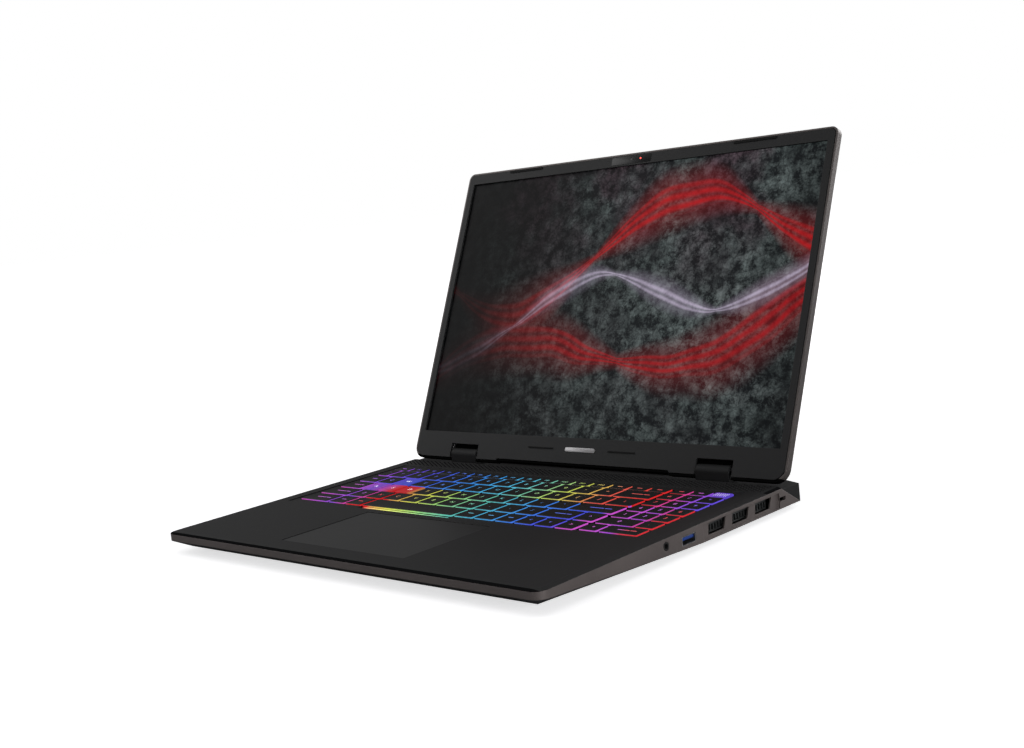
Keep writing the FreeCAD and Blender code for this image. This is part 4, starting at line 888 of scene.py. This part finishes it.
for side, along in ((1, 0), (-1, 0), (-1, 1)):
    place = Matrix.Translation((side * tongueLook["edge"] * mm,
                                (tongueLook["along"] - along * tongueLook["step"]) * mm,
                                tongueLook["level"] * mm))
    turn = Matrix.Rotation(0 if side > 0 else math.pi, 4, "Z")
    tongues.append(copied(tongue, basePlace @ place @ turn))
bpy.data.objects.remove(tongue)
tongues = joined(tongues, "dataTongues")
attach(tongues, "base")

# screws of the bottom cover, with a round recess
screwLook = {"spots": ((-150, 20), (0, 20), (150, 20), (-150, 128), (150, 128), (-100, 225), (0, 225),
                       (100, 225)),
             "radius": 2.7, "low": 3.5, "high": 4.25, "recess": 1.25}
screw = addRound("screw", screwLook["radius"] * mm, screwLook["low"] * mm, screwLook["high"] * mm, sides=30)
startEdit(screw)
pickFaces(screw, lambda middle, normal: normal.z < -0.9)
bpy.ops.mesh.bevel(offset=0.2 * mm, segments=2, affect="EDGES")
pickFaces(screw, lambda middle, normal: normal.z < -0.9)
bpy.ops.mesh.inset(thickness=1.05 * mm)
bpy.ops.mesh.extrude_region_move(TRANSFORM_OT_translate={"value": (0, 0, 0.45 * mm)})
endEdit()
smoothed(screw)
coat(screw, finishes["screwSteel"])
screws = [copied(screw, basePlace @ Matrix.Translation((x * mm, y * mm, 0))) for x, y in screwLook["spots"]]
bpy.data.objects.remove(screw)
screws = joined(screws, "bottomScrewHeads")
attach(screws, "base")
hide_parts("bottom_screws")
print("small pieces made")

# finishes of the frame's own nodes
nodeFinishes = {
    "top_case": "deckBlack", "side_frame": "frameGrey", "bottom_cover": "bottomBlack",
    "rear_housing": "rearBlack", "hinge_cover_left": "rearBlack", "hinge_cover_right": "rearBlack",
    "keyboard_plate": "plateMetal", "keyboard_backlight": "lightSheet", "touchpad": "padBlack",
    "touchpad_board": "boardGreen", "motherboard": "boardGreen", "processor": "chipBlack",
    "graphics_chip": "chipBlack", "ssd_module": "chipBlack", "memory_modules": "boardGreen",
    "wireless_card": "chipBlack", "heat_pipes": "copperPipe", "rear_fins": "finMetal",
    "side_fins": "finMetal", "battery_pack": "batteryWrap", "speakers": "innerPlastic",
    "fan_housing_left": "innerPlastic", "fan_housing_right": "innerPlastic",
    "fan_rotor_left": "innerPlastic", "fan_rotor_right": "innerPlastic", "data_ports": "socketSteel",
    "small_ports": "socketSteel", "video_port": "socketSteel", "power_jack": "innerPlastic",
    "audio_jack": "innerPlastic", "rubber_foot_front": "footRubber", "rubber_foot_rear": "footRubber",
    "bottom_screws": "screwSteel", "hinge_bracket_base_left": "hingeSteel",
    "hinge_bracket_base_right": "hingeSteel", "hinge_bracket_lid_left": "hingeSteel",
    "hinge_bracket_lid_right": "hingeSteel", "hinge_pins": "hingeSteel", "lid_cover": "lidGrey",
    "screen_bezel": "bezelBlack", "lcd_panel": "screenGlass", "webcam_module": "cameraGlass",
    "bezel_strips": "footRubber",
}
for name, item in nodes.items():
    finish = finishes[nodeFinishes.get(name, "keyBlack")]
    if not item.material_slots:
        item.data.materials.append(finish)
    for slot in item.material_slots:
        slot.material = finish
print("finishes set on the frame")

# floor, light and camera
stageLook = {"half": 40.0, "dark": (246, 246, 247), "light": (250, 250, 251),
             "shade": ((186, 186, 187), (192, 192, 193)), "glow": (0.3, 2.5, 0.72, 1.05)}
skyLook = {"low": 0.14, "high": 0.2, "left": 1.3, "right": 0.8}
clearSelection()
bpy.ops.mesh.primitive_plane_add(size=2 * stageLook["half"], location=(0, 0, 0))
floor = bpy.context.active_object
floor.name = "studioFloor"
floorFinish, floorTree, floorShader = newFinish("paleFloor")
floorSpot = floorTree.nodes.new("ShaderNodeTexCoord")
floorGrain = noise(floorTree, floorSpot.outputs["Object"], 3.0)
floorColor = blended(floorTree, floorGrain.outputs["Fac"], tone(*stageLook["dark"]),
                     tone(*stageLook["light"]))
floorTree.links.new(floorColor, floorShader.inputs["Base Color"])
floorTree.links.new(floorColor, floorShader.inputs["Emission Color"])
floorFar = floorTree.nodes.new("ShaderNodeVectorMath")
floorFar.operation = "LENGTH"
floorTree.links.new(floorSpot.outputs["Object"], floorFar.inputs[0])
floorTree.links.new(ranged(floorTree, floorFar.outputs["Value"], *stageLook["glow"]),
                    floorShader.inputs["Emission Strength"])
floorShader.inputs["Roughness"].default_value = 0.9
floorShader.inputs["Specular IOR Level"].default_value = 0.1
dimFloor = floorTree.nodes.new("ShaderNodeBsdfDiffuse")
floorTree.links.new(blended(floorTree, floorGrain.outputs["Fac"], *[tone(*t) for t in stageLook["shade"]]),
                    dimFloor.inputs["Color"])
floorSeen = floorTree.nodes.new("ShaderNodeLightPath")
floorMix = floorTree.nodes.new("ShaderNodeMixShader")
floorOut = floorTree.nodes["Material Output"]
floorTree.links.new(floorSeen.outputs["Is Camera Ray"], floorMix.inputs["Fac"])
floorTree.links.new(dimFloor.outputs["BSDF"], floorMix.inputs[1])
floorTree.links.new(floorShader.outputs["BSDF"], floorMix.inputs[2])
floorSide = floorTree.nodes.new("ShaderNodeNewGeometry")
floorClear = floorTree.nodes.new("ShaderNodeBsdfTransparent")
floorUnder = floorTree.nodes.new("ShaderNodeMixShader")
floorTree.links.new(floorSide.outputs["Backfacing"], floorUnder.inputs["Fac"])
floorTree.links.new(floorMix.outputs["Shader"], floorUnder.inputs[1])
floorTree.links.new(floorClear.outputs["BSDF"], floorUnder.inputs[2])
floorTree.links.new(floorUnder.outputs["Shader"], floorOut.inputs["Surface"])
coat(floor, floorFinish)

world = bpy.data.worlds.new("studio")
bpy.context.scene.world = world
world.use_nodes = True
skyTree = world.node_tree
sky = skyTree.nodes["Background"]
sky.inputs["Color"].default_value = (1.0, 1.0, 1.0, 1.0)
skySpot = skyTree.nodes.new("ShaderNodeTexCoord")
skyParts = skyTree.nodes.new("ShaderNodeSeparateXYZ")
skyTree.links.new(skySpot.outputs["Generated"], skyParts.inputs["Vector"])
skyShade = ranged(skyTree, skyParts.outputs["Z"], 0.05, 0.8, skyLook["low"], skyLook["high"])
skySide = ranged(skyTree, skyParts.outputs["X"], -0.8, 0.8, skyLook["left"], skyLook["right"])
skyTone = math2(skyTree, "MULTIPLY", skyShade, skySide)
seen = skyTree.nodes.new("ShaderNodeLightPath")
skyLevel = ranged(skyTree, seen.outputs["Is Camera Ray"], 0.0, 1.0, skyTone, 1.0)
skyTree.links.new(skyLevel, sky.inputs["Strength"])

lightLooks = [
    {"name": "leftSoftbox", "place": (-1.9, -0.7, 1.3), "aim": (0.0, 0.0, 0.05), "size": 1.6, "power": 15},
    {"name": "topSoftbox", "place": (-0.2, -0.3, 2.2), "aim": (0.0, 0.0, 0.0), "size": 2.2, "power": 4},
    {"name": "rightSoftbox", "place": (2.4, -0.55, 0.3), "aim": (0.1, 0.0, 0.05), "size": 1.2, "power": 32},
    {"name": "rearSoftbox", "place": (0.5, 2.4, 0.75), "aim": (0.0, 0.1, 0.1), "size": 1.6, "power": 34},
]
for look in lightLooks:
    clearSelection()
    direction = Vector(look["aim"]) - Vector(look["place"])
    bpy.ops.object.light_add(type="AREA", location=look["place"],
                             rotation=direction.to_track_quat("-Z", "Y").to_euler())
    lamp = bpy.context.active_object
    lamp.name = look["name"]
    lamp.data.size = look["size"]
    lamp.data.energy = look["power"]

viewLook = {"place": (0.66046, -0.66170, 0.21665), "turn": (82.01017, 6.26014, 42.85745), "lens": 47.5777,
            "shift": (-0.02168, 0.01642)}
bpy.ops.object.camera_add(location=viewLook["place"], rotation=[math.radians(a) for a in viewLook["turn"]])
camera = bpy.context.active_object
camera.name = "studioCamera"
camera.data.lens = viewLook["lens"]
camera.data.shift_x, camera.data.shift_y = viewLook["shift"]
camera.data.clip_start = 0.01
bpy.context.scene.camera = camera
bpy.context.scene.view_settings.view_transform = "Standard"
print("light and camera set")
